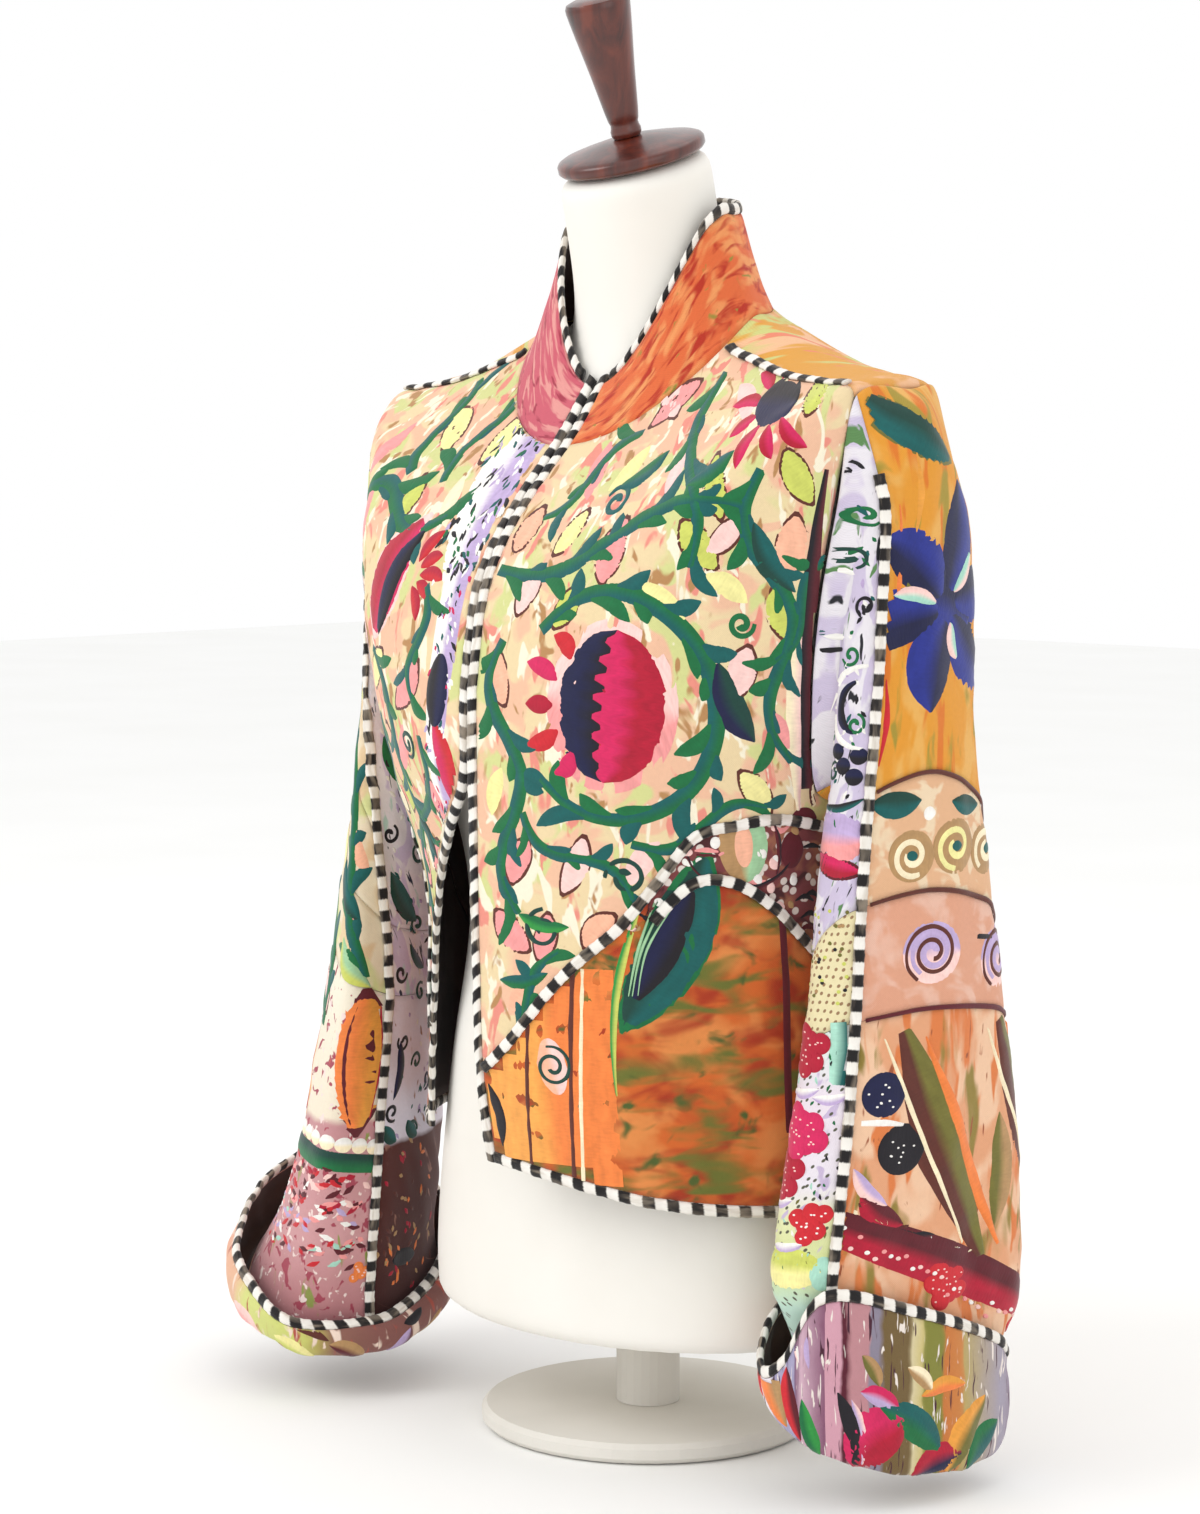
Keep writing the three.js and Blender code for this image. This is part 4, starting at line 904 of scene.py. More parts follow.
columns = np.arange(0, far + 1)
edge_binding("trim_hem", body, hem_row * fine_steps, columns, hem_row * fine_steps - 2, columns,
    "binding_hem")
# ---- The stitched and printed motifs ----
# Vines, leaves, fruit and berries lie on the cloth as thin pads of thread. Each is drawn in millimetres along
# and down the cloth, and then laid on the net; what runs over a seam is cut off there.
thread_cotton, thread_shader = new_material("thread_cotton", 0.7, sheen=0.25, specular=0.3)
tree = thread_cotton.node_tree
hue = node_at(tree, "ShaderNodeAttribute", {"attribute_name": "thread"}).outputs["Color"]
place = node_at(tree, "ShaderNodeUVMap", {"uv_map": "cloth"}).outputs["UV"]
rows_of_stitch = node_at(tree, "ShaderNodeMapping", Vector=place, Scale=(700.0, 160.0, 1.0))
stitch = node_at(tree, "ShaderNodeTexNoise", Vector=rows_of_stitch.outputs["Vector"], Scale=1.0, Detail=2.0)
fade_place = node_at(tree, "ShaderNodeMapping", Vector=place, Scale=(60.0, 160.0, 1.0))
faded = node_at(tree, "ShaderNodeTexNoise", Vector=fade_place.outputs["Vector"], Scale=1.0, Detail=3.0)
light = node_at(tree, "ShaderNodeMapRange", Value=faded.outputs["Fac"], To_Min=0.72, To_Max=1.3)
fine = node_at(tree, "ShaderNodeMapRange", Value=stitch.outputs["Fac"], To_Min=0.85, To_Max=1.15)
toned = node_at(tree, "ShaderNodeHueSaturation", Color=hue,
    Value=maths(tree, "MULTIPLY", light.outputs[0], fine.outputs[0]))
tree.links.new(toned.outputs["Color"], thread_shader.inputs["Base Color"])
relief = node_at(tree, "ShaderNodeBump", Height=stitch.outputs["Fac"], Strength=0.6, Distance=0.0003)
tree.links.new(relief.outputs["Normal"], thread_shader.inputs["Normal"])

threads = {
    "green": "#0f6a3a", "teal": "#0a5a58", "bright": "#2c8f3e", "deep": "#123f36", "navy": "#14173f",
    "blue": "#232e86",
    "magenta": "#cf1f5a", "crimson": "#ae1030", "pink": "#ef9a98", "pale": "#f7cdc6", "peach": "#f3b596",
    "yellow": "#efe79c", "lime": "#c9cf62", "brown": "#5c2a20", "black": "#17131b", "white": "#f5f2ec",
    "lilac": "#bca6cf", "olive": "#6f6a2c", "tan": "#b08a5c", "maroon": "#5b1420", "red": "#c8202c",
    "amber": "#e39a3c",
    "mint": "#a8d8c4", "honey": "#f0a24c", "cream": "#f5e6c2", "orange": "#ea7f3c", "sage": "#9cc79a",
}


def hue_of(name):
    return np.array(srgb(threads[name]))


def new_work():
    return {"st": [], "lift": [], "colour": [], "uv": [], "faces": [], "count": 0}


def between(work, one, two, hue, rise=0.0, lift=0.2, second=None, across=4):
    """Fills the strip between two drawn lines, domed across; its edges sink into the cloth."""
    count = len(one)
    u = np.linspace(0, 1, across + 1)
    grid = one[:, None] * (1 - u)[None, :, None] + two[:, None] * u[None, :, None]
    dome = np.where((u == 0) | (u == 1), -0.12, rise + lift * np.sqrt(np.clip(1 - (2 * u - 1) ** 2, 0, 1)))
    height = np.tile(dome, (count, 1))
    height[[0, -1]] = -0.12
    share = np.clip((u - 0.5) * 8 + 0.5, 0, 1)[None, :, None]
    colour = hue_of(hue) * (1 - share) + hue_of(second or hue) * share
    along = lengths_along((one + two) / 2, 0)
    wide = np.linalg.norm(two - one, axis=1)[:, None] * u[None]
    start = work["count"]
    index = start + np.arange(count * (across + 1)).reshape(count, across + 1)
    quads = np.stack([index[:-1, :-1], index[1:, :-1], index[1:, 1:], index[:-1, 1:]], -1).reshape(-1, 4)
    work["st"].append(grid.reshape(-1, 2))
    work["lift"].append(height.ravel())
    work["colour"].append(np.broadcast_to(colour, (count, across + 1, 4)).reshape(-1, 4))
    work["uv"].append(np.stack([np.tile(along[:, None], (1, across + 1)), wide], -1).reshape(-1, 2) / 1000)
    work["faces"].append(quads)
    work["count"] += count * (across + 1)


def smooth_path(points, gap=1.7):
    curve = blend_weights(len(points), 14, False) @ np.array(points, float)
    along = lengths_along(curve, 0)
    stations = np.linspace(0, along[-1], max(int(along[-1] / gap), 4) + 1)
    return np.stack([np.interp(stations, along, curve[:, k]) for k in (0, 1)], 1)


def stroke(work, path, widths, hue, rise=0.0, lift=0.25, second=None, across=4, gap=1.7):
    """A line of stitches: its width runs through the given values from end to end."""
    line = smooth_path(path, gap)
    ahead = unit(np.gradient(line, axis=0))
    aside = np.stack([-ahead[:, 1], ahead[:, 0]], 1)
    share = np.linspace(0, 1, len(line))
    half = np.interp(share, np.linspace(0, 1, len(widths)), widths)[:, None] / 2
    between(work, line - aside * half, line + aside * half, hue, rise, lift, second, across)
    return line, ahead


def leaf(work, base, tip, width, hue, bend=0.15, second=None, rise=0.0, lift=0.22, edge=None):
    """A pointed leaf or petal; edge draws a thin darker outline under it."""
    base, tip = np.array(base, float), np.array(tip, float)
    aside = np.array([-(tip - base)[1], (tip - base)[0]])
    middle = (base + tip) / 2 + aside * bend
    profile = np.array([0.1, 0.6, 0.9, 1.0, 0.98, 0.86, 0.56, 0.06]) * width
    gap = max(np.linalg.norm(tip - base) / 16, 0.8)
    if edge:
        over = unit(tip - base) * 1.3
        stroke(work, [base - over, middle, tip + over], profile + 1.5, edge, rise - 0.04, lift, gap=gap)
    stroke(work, [base, middle, tip], profile, hue, rise + (0.06 if edge else 0), lift, second,
        6 if width > 8 else 4, gap)


def disc(work, centre, radii, hue, turn=0, rise=0.0, lift=0.3, second=None):
    x = np.sin(np.linspace(-0.5, 0.5, 17) * math.pi)
    c, s = math.cos(math.radians(turn)), math.sin(math.radians(turn))
    axis, side = np.array([c, s]), np.array([-s, c])
    half = np.sqrt(1 - x * x)[:, None] * radii[1] * side
    line = np.array(centre, float) + x[:, None] * radii[0] * axis
    between(work, line - half, line + half, hue, rise, lift, second, 8)


def curl(work, centre, radius, turns, start, width, hue, way=1, rise=0.15, tail=None):
    steps = np.arange(0, turns * 12 + 1) / 12
    angle = math.radians(start) + way * steps * 2 * math.pi
    size = radius * (1 - 0.8 * steps / turns)
    path = [(centre[0] + r * math.cos(a), centre[1] + r * math.sin(a)) for r, a in zip(size, angle)]
    stroke(work, (tail or []) + path, [width * 0.7, width, width, width * 1.3], hue, rise, gap=1.1)


def turned_way(way, turn):
    c, s = math.cos(turn), math.sin(turn)
    return np.array([way[0] * c - way[1] * s, way[0] * s + way[1] * c])


def vine(work, path, width, hue="green", second="teal"):
    """A thick stem with blunt leaves like fingers on alternate sides."""
    width *= 1.4
    line, ahead = stroke(work, path, [width * 0.7, width, width, width * 0.9, width * 0.5], hue, 0.15, 0.3,
        second)
    for number, k in enumerate(range(4, len(line) - 2, 9)):
        side = (1, -1)[number % 2]
        turn = math.radians(side * (36 + 10 * math.sin(number * 2.3 + width)))
        way = turned_way(ahead[k], turn)
        long = width * (2.5 + 0.7 * math.sin(number * 1.7 + width))
        tip = line[k] + way * long
        bow = (line[k] + tip) / 2 + np.array([way[1], -way[0]]) * side * long * 0.12
        stroke(work, [line[k], bow, tip], np.array([0.5, 0.66, 0.86, 1.0, 0.96, 0.7, 0.1]) * width,
            (hue, second)[number % 2], 0.15, 0.22)


def pomegranate(work, centre, radii, turn=0, crown=180, petals=5, split=0.34):
    """A fruit with a dark, notched side, a pale rim and a crown of petals."""
    centre = np.array(centre, float)
    disc(work, centre, (radii[0] + 6, radii[1] + 6), "pale", turn, -0.02, 0.12, "pink")
    c, s = math.cos(math.radians(turn)), math.sin(math.radians(turn))
    axis, side = np.array([c, s]), np.array([-s, c])
    y = np.linspace(-1, 1, 33)
    reach = np.sqrt(np.clip(1 - y * y, 0, 1))
    notch = (-1 + 2 * split) * reach + 0.10 * reach * np.where(np.arange(33) % 4 < 2, 1, -1) * (1 - 0.3 * y)
    lines = [centre + (k[:, None] * radii[0]) * axis + (y[:, None] * radii[1]) * side for k in (-reach,
        notch + 0.5 * reach, notch, reach)]
    between(work, lines[0], lines[1], "navy", 0.15, 0.25, "black", 6)
    between(work, lines[2], lines[3], "magenta", 0.5, 0.3, "crimson", 8)
    for k in range(7):
        at = -0.75 + k * 0.25
        start = centre + axis * radii[0] * (0.0 + 0.18 * math.sin(k * 2.1)) + side * radii[1] * at * 0.9
        leaf(work, start, start + axis * radii[0] * 0.55 + side * radii[1] * 0.1, radii[1] * 0.1,
            ("crimson", "red")[k % 2], 0.2, rise=0.5, lift=0.12)
    for k in range(petals):
        a = math.radians(crown + (k - (petals - 1) / 2) * 24)
        out = np.array([math.cos(a), math.sin(a)])
        start = centre + out * (min(radii) + 2)
        leaf(work, start, start + out * min(radii) * (0.58 + 0.16 * (k % 2)), min(radii) * 0.34,
            ("magenta", "red", "crimson")[k % 3], 0.1 * (k - 2), rise=0.2)


def flecks(work, path, width, count, hues, seed, long=5.0):
    draw = np.random.default_rng(seed)
    line = smooth_path(path, 2)
    ahead = unit(np.gradient(line, axis=0))
    for _ in range(count):
        k = draw.integers(0, len(line))
        side = np.array([-ahead[k][1], ahead[k][0]])
        at = line[k] + side * draw.uniform(-0.5, 0.5) * width
        turn = draw.uniform(-0.9, 0.9)
        way = turned_way(ahead[k], turn)
        reach = way * long * draw.uniform(0.5, 1.1)
        stroke(work, [at, at + reach / 2 + side * 0.4, at + reach], [0.14 * long, 0.42 * long, 0.14 * long],
            hues[draw.integers(len(hues))], 0.1 + draw.uniform(0, 0.15), across=2, gap=2)


def berries(work, centre, radius, count, hue, seed, dots="white"):
    """A cluster of round berries, each with a few tiny light dots."""
    draw = np.random.default_rng(seed)
    for k in range(count):
        a, r = k * 2.4, radius * math.sqrt(k / max(count - 1, 1)) * 0.72
        at = (centre[0] + r * math.cos(a), centre[1] + r * math.sin(a))
        size = radius * 0.42 if count > 1 else radius
        disc(work, at, (size, size), hue, rise=0.15 + 0.05 * (k % 3), lift=0.45)
        for _ in range(2 if count > 1 else 9):
            b, q = draw.uniform(0, 6.28), size * draw.uniform(0.1, 0.72)
            disc(work, (at[0] + q * math.cos(b), at[1] + q * math.sin(b)), (0.75, 0.75), dots, rise=0.5,
                lift=0.25)


def between_nodes(corners, fr, fc):
    a, b, d, e = corners
    return a * (1 - fr) * (1 - fc) + b * fr * (1 - fc) + d * (1 - fr) * fc + e * fr * fc


def net_corners(values, r, c):
    return values[r, c], values[r + 1, c], values[r, c + 1], values[r + 1, c + 1]


def net_places(chart, window, wanted):
    """Row and column on a net of places given in mm along and down the cloth, and how far each is missed."""
    r0, r1, c0, c1 = window
    part = chart[r0 : r1 + 1, c0 : c1 + 1] * 1000
    grid = np.stack(np.meshgrid(np.arange(0, part.shape[0], 4), np.arange(0, part.shape[1], 4),
        indexing="ij"), -1)
    grid = grid.reshape(-1, 2)
    samples = part[grid[:, 0], grid[:, 1]]
    place = np.zeros((len(wanted), 2))
    for k in range(0, len(wanted), 4000):
        gaps = ((wanted[k : k + 4000, None] - samples) ** 2).sum(-1)
        place[k : k + 4000] = grid[gaps.argmin(1)]
    top = np.array(part.shape[:2]) - 1.001
    for _ in range(10):
        place = np.clip(place, 0, top)
        r, c = place.astype(int).T
        fr, fc = (place - place.astype(int)).T[:, :, None]
        a, b, d, e = net_corners(part, r, c)
        down, over = (b - a) * (1 - fc) + (e - d) * fc, (d - a) * (1 - fr) + (e - b) * fr
        miss = wanted - between_nodes((a, b, d, e), fr, fc)
        scale = down[:, 0] * over[:, 1] - down[:, 1] * over[:, 0]
        scale = np.where(np.abs(scale) < 1e-9, 1e-9, scale)
        step_r = (miss[:, 0] * over[:, 1] - miss[:, 1] * over[:, 0]) / scale
        step_c = (down[:, 0] * miss[:, 1] - down[:, 1] * miss[:, 0]) / scale
        place = place + np.clip(np.stack([step_r, step_c], 1), -4, 4)
    place = np.clip(place, 0, top)
    return place + (r0, c0), np.linalg.norm(miss, axis=1)


def laid_work(name, work, net, chart, window, cloth_face=1.02, widest_miss=0.7):
    """Lays the drawn motifs on a net's outer face, in mm over its middle, and makes them one piece."""
    wanted, lift = np.concatenate(work["st"]), np.concatenate(work["lift"])
    colour, uv, faces = (np.concatenate(work[key]) for key in ("colour", "uv", "faces"))
    place, miss = net_places(chart, window, wanted)
    r, c = np.minimum(place.astype(int), np.array(net["points"].shape[:2]) - 2).T
    fr, fc = (place - np.stack([r, c], 1)).T[:, :, None]
    points, normals = (between_nodes(net_corners(net[key], r, c), fr, fc) for key in ("points", "normals"))
    normals = unit(normals)
    verts = points + normals * (cloth_face + lift)[:, None] / 1000
    faces = faces[(miss[faces] < widest_miss).all(1)]
    p = verts[faces]
    out = (np.cross(p[:, 2] - p[:, 0], p[:, 3] - p[:, 1]) * normals[faces[:, 0]]).sum(1)
    faces = np.where((out < 0)[:, None], faces[:, ::-1], faces)
    faces = faces[np.abs(out) > 1e-10]
    used, flat = np.unique(faces, return_inverse=True)
    flat = flat.reshape(faces.shape)
    piece = mesh_piece(name, verts[used], flat.tolist(), uv[faces], [thread_cotton], None, colour[faces])
    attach(piece, "root")
    return piece


# ---- The painted fronts' motifs ----
# The left front carries a large pomegranate inside a ring of thick stems; the right one a long split leaf, a
# dark pod and a band of flecks down its edge. Pale leaves fill the ground between the stems.
def pale_leaves(work, table, flip=1):
    for x0, y0, x1, y1, wide, hue in table:
        leaf(work, (flip * x0, y0), (flip * x1, y1), wide, hue, 0.08 * math.sin(x0), lift=0.12,
            edge="brown" if wide > 14 else None)


def vines(work, table, flip=1):
    for wide, *path in table:
        vine(work, [(flip * x, y) for x, y in path], wide)


def sprigs(work, table, flip=1):
    for x0, y0, x1, y1, wide, hue, second in table:
        leaf(work, (flip * x0, y0), (flip * x1, y1), wide, hue, 0.1 * flip, second, rise=0.3)


def sway(x0, y0, x1, y1, swing, waves=1.0):
    """A stem's path from end to end, swinging evenly from side to side."""
    share = np.linspace(0, 1, 9)
    ahead = np.array([x1 - x0, y1 - y0])
    aside = np.array([-ahead[1], ahead[0]]) / np.linalg.norm(ahead) * swing
    path = np.array([x0, y0]) + share[:, None] * ahead + np.sin(share * 2 * math.pi * waves)[:, None] * aside
    return [tuple(at) for at in path]


def swayed(rows):
    return [(wide, *sway(*ends)) for wide, *ends in rows]


def wreath(centre, radii, first, last):
    turns = np.radians(np.linspace(first, last, 11))
    return [(centre[0] + radii[0] * math.cos(a), centre[1] + radii[1] * math.sin(a)) for a in turns]


def strewn(seed, box, gap, clear, hues=("pink", "yellow", "pale", "cream", "peach", "pink", "lime")):
    """Pale leaves in staggered rows, each a little out of line, none inside the fruit's circle."""
    draw, table = np.random.default_rng(seed), []
    for row, y in enumerate(np.arange(box[1], box[3], gap)):
        for x in np.arange(box[0] + (row % 2) * gap / 2, box[2], gap):
            x0, y0 = x + draw.uniform(-5, 5), y + draw.uniform(-5, 5)
            angle, long, wide = draw.uniform(0.6, 2.4), draw.uniform(26, 40), draw.uniform(11, 19)
            hue = hues[draw.integers(len(hues))]
            if (x0 - clear[0]) ** 2 + (y0 - clear[1]) ** 2 > clear[2] ** 2:
                table.append((x0, y0, x0 + long * math.cos(angle), y0 + long * math.sin(angle), wide, hue))
    return table


def rosette(work, centre, inner, outer, width, turns, hue, second, rise=0.15):
    """Petals of two lengths in turn, set round a centre."""
    for number, turn in enumerate(turns):
        out = np.array([math.cos(math.radians(turn)), math.sin(math.radians(turn))])
        reach = outer * (1, 0.84)[number % 2]
        leaf(work, np.array(centre) + out * inner, np.array(centre) + out * reach, width, hue, 0.1, second,
            rise)


# the net's rows that each front's stitching may lie on
front_rows, patch_rows, hem_rows = (16, 88), (88, 104), (88, 120)
fruit = (92, 176)
blush = strewn(5, (16, -10, 215, 360), 38, (*fruit, 62))
work = new_work()
pale_leaves(work, blush)
pomegranate(work, fruit, (33, 45), turn=8)
vines(work, [(7.4, *wreath(fruit, (60, 66), -140, 140)), *swayed([
    (6.6, 4, 100, 170, 60, 11), (6.6, 110, -16, 140, 96, 9), (6.6, 178, 40, 196, 210, 11, 1.5),
    (5.6, 222, 90, 186, 150, 6), (6.8, 18, 140, 30, 300, 10, 1.5), (5.2, 34, 240, 100, 290, 8),
    (5.2, 100, 256, 180, 236, 8), (5.2, 12, 386, 56, 320, 6), (5.6, 60, 20, 20, 70, 7),
])])
sprigs(work, [
    (154, 150, 172, 196, 20, "deep", "navy"), (176, 70, 200, 110, 15, "teal", "deep"),
    (30, 300, 62, 306, 9, "green", "bright"), (70, 52, 96, 30, 12, "green", "teal"),
    (128, 50, 158, 30, 12, "teal", "green"), (16, 340, 48, 334, 9, "teal", "green"),
])
for centre, radius, start, way, hue in [((46, 308), 12, 270, -1, "deep"), ((96, 276), 12, 180, 1, "deep"),
    ((74, 60), 10, 200, 1, "teal"), ((168, 128), 8, 0, 1, "green")]:
    curl(work, centre, radius, 1.4, start, 3.4, hue, way)
rosette(work, (174, 2), 14, 40, 9, range(40, 250, 34), "magenta", "crimson", 0.2)
disc(work, (174, 2), (17, 15), "black", rise=0.35, lift=0.5, second="navy")
stroke(work, sway(204, 120, 200, 240, 3, 0.5), [2, 12, 12, 2], "pale", 0.1, 0.2, "cream")
# a maroon band turning black down by the armhole: painted shade of the deep fold between the body and the sleeve
stroke(work, sway(218, 40, 206, 226, 4, 0.5), [3, 11, 12, 8], "maroon", 0.25, 0.25, "black")
disc(work, (204, 244), (9, 7), "maroon", rise=0.3)
motifs_left = laid_work("motifs_front_left", work, body, left_chart, (*front_rows, 1, 72))

work = new_work()
pale_leaves(work, strewn(6, (40, 10, 170, 380), 36, (76, 104, 40)))
fleck_band = (sway(26, -22, 16, 100, -4, 0.5), sway(14, 96, 40, 276, 6, 0.5))
for path, wide in zip(fleck_band, (44, 20)):
    stroke(work, path, [wide, wide, wide * 0.8, wide * 0.6], "white", -0.02, 0.1, "lilac", 8)
flecks(work, fleck_band[0], 40, 190, ["black", "teal", "white", "lilac", "green", "black", "white"], 5, 9)
flecks(work, fleck_band[1], 18, 110, ["white", "black", "teal", "lilac", "magenta", "white"], 6, 8)
vines(work, swayed([
    (7.4, 146, 60, 44, 70, 12), (6, 104, 44, 130, -14, 6), (6, 70, 50, 60, -20, 6),
    (5.6, 40, 110, 44, 180, 6),
    (6, 100, 150, 60, 270, 10), (5.6, 40, 200, 116, 350, 11, 1.5), (5.6, 110, 190, 140, 320, 9),
    (5.2, 60, 290, 120, 390, 8), (5.4, 150, 90, 160, 200, 7),
]))
leaf(work, (94, 144), (60, 70), 34, "magenta", 0.04, "crimson", rise=0.25, lift=0.3, edge="pale")
leaf(work, (88, 142), (56, 78), 17, "black", 0.04, "navy", rise=0.6, lift=0.2)
rosette(work, (56, 104), 8, 30, 9, range(110, 250, 32), "red", "crimson", 0.2)
sprigs(work, [(23, 190, 21, 240, 17, "magenta", "red"), (78, 252, 64, 280, 10, "teal", "deep")])
disc(work, (20, 172), (22, 9.5), "black", 84, 0.5, 0.4, "navy")
curl(work, (57, 206), 9, 1.5, 60, 3, "deep")
motifs_right = laid_work("motifs_front_right", work, body, right_chart, (*front_rows, far - 72, far - 1))

# ---- The patches' and lower fronts' motifs ----
# White dots and dark arcs on the let-in patch; below it a large leaf in blue-green, a small coiled eye,
# dark stripes and rows of soft olive dashes on the orange cloth.
motifs_patch, motifs_hem = {}, {}
for side, hand, chart in (("left", 1, left_chart), ("right", -1, right_chart)):
    window_columns = (0, 80) if hand > 0 else (far - 80, far)
    work = new_work()
    draw = np.random.default_rng(31)
    for _ in range(34):
        at = (draw.uniform(96, 206), draw.uniform(240, 330))
        stroke(work, [at, (at[0] + 7, at[1] + draw.uniform(-5, 5)), (at[0] + 14, at[1] + 1)], [1, 3.6, 1],
            ("maroon", "black", "pink")[draw.integers(3)], 0.05, 0.12, gap=2)
    for _ in range(64):
        at, size = (draw.uniform(96, 206), draw.uniform(240, 330)), draw.uniform(1.8, 3.6)
        disc(work, at, (size * 1.2, size), ("white", "pale", "white", "tan")[draw.integers(4)],
            draw.uniform(0, 90), 0.2, 0.2)
    disc(work, (164, 258), (22, 15), "sage", 84, 0.25, 0.2, "tan")
    disc(work, (164, 258), (13, 7), "peach", 84, 0.45, 0.15)
    for path in (sway(112, 300, 158, 282, 5, 0.5), wreath((164, 258), (34, 26), 170, 20),
        sway(182, 244, 186, 276, -3, 0.5)):
        stroke(work, path, [1.5, 3.6, 3.6, 1.2], "black", 0.4, second="maroon")
    disc(work, (196, 262), (8, 11), "maroon", rise=0.4)
    motifs_patch[side] = laid_work(f"motifs_patch_{side}", work, body, chart, (*patch_rows, *window_columns))
    work = new_work()
    edge = np.array([(x, y) for x, y in zip(np.full(14, 2.0), np.linspace(330, 470, 14))])
    between(work, edge, edge + [86, 0], "honey", -0.05, 0.12, "orange", 24)
    for path, wide, hue in [
        ([(35, 364), (33, 400), (29, 450)], 2.8, "brown"), ([(64, 330), (61, 400), (57, 462)], 3.2, "brown"),
        ([(70, 330), (67, 400), (63, 462)], 2.6, "cream"),
        ([(190, 296), (192, 350), (190, 430)], 5, "maroon"),
    ]:
        stroke(work, path, [wide, wide, wide], hue, 0.12, 0.2)
    disc(work, (50, 389), (17, 10), "pale", 80, 0.1, 0.25, "peach")
    curl(work, (50, 389), 12.5, 1.7, 250, 3, "deep", 1, rise=0.35)
    leaf(work, (142, 262), (92, 366), 40, "teal", -0.06, "deep", rise=0.15, lift=0.4, edge="green")
    leaf(work, (134, 280), (98, 350), 24, "black", -0.04, "navy", rise=0.6, lift=0.2)
    for x0, x1 in ((112, 96), (118, 98), (124, 101)):
        stroke(work, [(x0, 290), (x1 + 6, 318), (x1, 346)], [0.8, 2, 0.8], "sage", 0.9, 0.15)
    stroke(work, sway(88, 404, 104, 290, -7, 0.5), [1, 4.4, 5, 2], "bright", 0.2, second="lime")
    leaf(work, (3, 404), (8, 442), 9, "black", -0.1, rise=0.2)
    motifs_hem[side] = laid_work(f"motifs_hem_{side}", work, body, chart, (*hem_rows, *window_columns))

for side, motifs in (("left", motifs_left), ("right", motifs_right)):
    upper = [f"trim_front_{side}", f"trim_shoulder_{side}", motifs]
    patch = [f"trim_slant_{side}", f"trim_patch_{side}", motifs_patch[side]]


# ---- The back ----
# One large piece from the neck seam to the hem, of the same family of painted cottons.
back_print = cotton("back_print", "#f2dfb2", [
    ("bands", 1.0, -90, -0.06, 0.46, [
        (0.0, "#e0a040"), (0.19, "#dfa050"), (0.2, "#5c2a20"), (0.206, "#f2dfb2"), (0.75, "#f2dfb2"),
        (0.756, "#5c2a20"), (0.766, "#d9702c"), (1.0, "#d9702c"),
    ], 0.006),
    ("blots", "#f0bd92", (0.035, 0.03), 0.54, 0.04),
    ("blots", "#cfcf80", (0.03, 0.045), 0.58, 0.03),
    ("blots", "#e8886a", (0.014, 0.035), 0.62, 0.02),
])
last = 2 * half_columns - 1 - front_columns
back_cells = cell_block(front_columns, last, neck_row, shoulder_row - 1)
back_cells += cell_block(front_columns + 2, last - 2, shoulder_row, underarm_row - 1)
back_cells += cell_block(front_columns + 1, last - 1, underarm_row, hem_row - 1)
back_piece = panel("cloth_back", body, back_cells, np.stack([back_chart[..., 0], down_cloth], -1),
    [back_print, lining], "back")
work = new_work()
for flip in (1, -1):
    pale_leaves(work, [(x0 + 4, y0 + 24, x1 + 4, y1 + 24, wide, hue) for x0, y0, x1, y1, wide,
        hue in blush if y0 < 330], flip)
    pomegranate(work, (flip * 96, 196), (32, 44), turn=172 if flip > 0 else 8, crown=0 if flip > 0 else 180)
    vines(work, [
        (7, (46, 244), (44, 214), (52, 176), (70, 150), (96, 142), (122, 150), (140, 176), (142, 206),
        (130, 236), (106, 252)), (6, (134, 162), (142, 130), (136, 100), (146, 70)),
        (6.4, (20, 320), (30, 286), (26, 250), (34, 214), (24, 176), (32, 136), (22, 96), (30, 60)),
        (6.4, (190, 316), (180, 280), (186, 240), (176, 200), (184, 160), (174, 124)),
        (6, (60, 320), (76, 296), (102, 284), (132, 288), (160, 300)),
        (6, (60, 120), (72, 92), (92, 76), (112, 60)),
    ], flip)
    for x, y in ((64, 92), (160, 250), (52, 286), (118, 104)):
        curl(work, (flip * x, y), 9, 1.4, 60, 3, "deep", flip)
    sprigs(work, [(30, 400, 76, 350, 34, "deep", "teal"), (60, 10, 130, 34, 22, "deep", "teal"),
        (20, 372, 80, 374, 6, "olive", None), (90, 382, 150, 380, 6, "olive", "amber"),
                  (160, 376, 210, 380, 6, "olive", None), (120, 412, 170, 410, 7, "olive", "amber"),
                  (60, 426, 110, 424, 6, "olive", None)], flip)
motifs_back = laid_work("motifs_back", work, body, back_chart, (17, 119, 89, far - 89))


# ---- The collar ----
# A soft stand-and-fall band in two halves of different silk-like cottons, joined at the centre back and
# bound with striped braid along its upper edge.
coral_cotton = cotton("coral_cotton", "#e06c3c", [
    ("blots", "#ec9a5e", (0.024, 0.014), 0.54, 0.1),
    ("blots", "#b8321f", (0.022, 0.008), 0.58, 0.09),
    ("blots", "#9a8a3c", (0.012, 0.008), 0.68, 0.05),
])
rose_cotton = cotton("rose_cotton", "#cf5f6f", [
    ("blots", "#e59a94", (0.03, 0.006), 0.55, 0.06),
    ("blots", "#a83a4d", (0.02, 0.008), 0.62, 0.05),
])
collar_chart = np.stack([lengths_along(body["points"], 1), lengths_along(body["points"], 0)], -1)
for side, hand, silk, slot in (("left", 1, coral_cotton, "coral_cloth"),
    ("right", -1, rose_cotton, "rose_cloth")):
    cells = body_block(hand, 0, half_columns - 1, 0, neck_row - 1)
    piece = panel(f"cloth_collar_{side}", body, cells, collar_chart, [silk, lining], f"collar_{side}")
    columns = np.arange(0, half_columns * fine_steps + 1)
    columns = columns if hand > 0 else far - columns
    binding = edge_binding(f"trim_collar_{side}", body, 0, columns, 2, columns, f"binding_collar_{side}",
        trim_ends=(0.004, 0.0001))


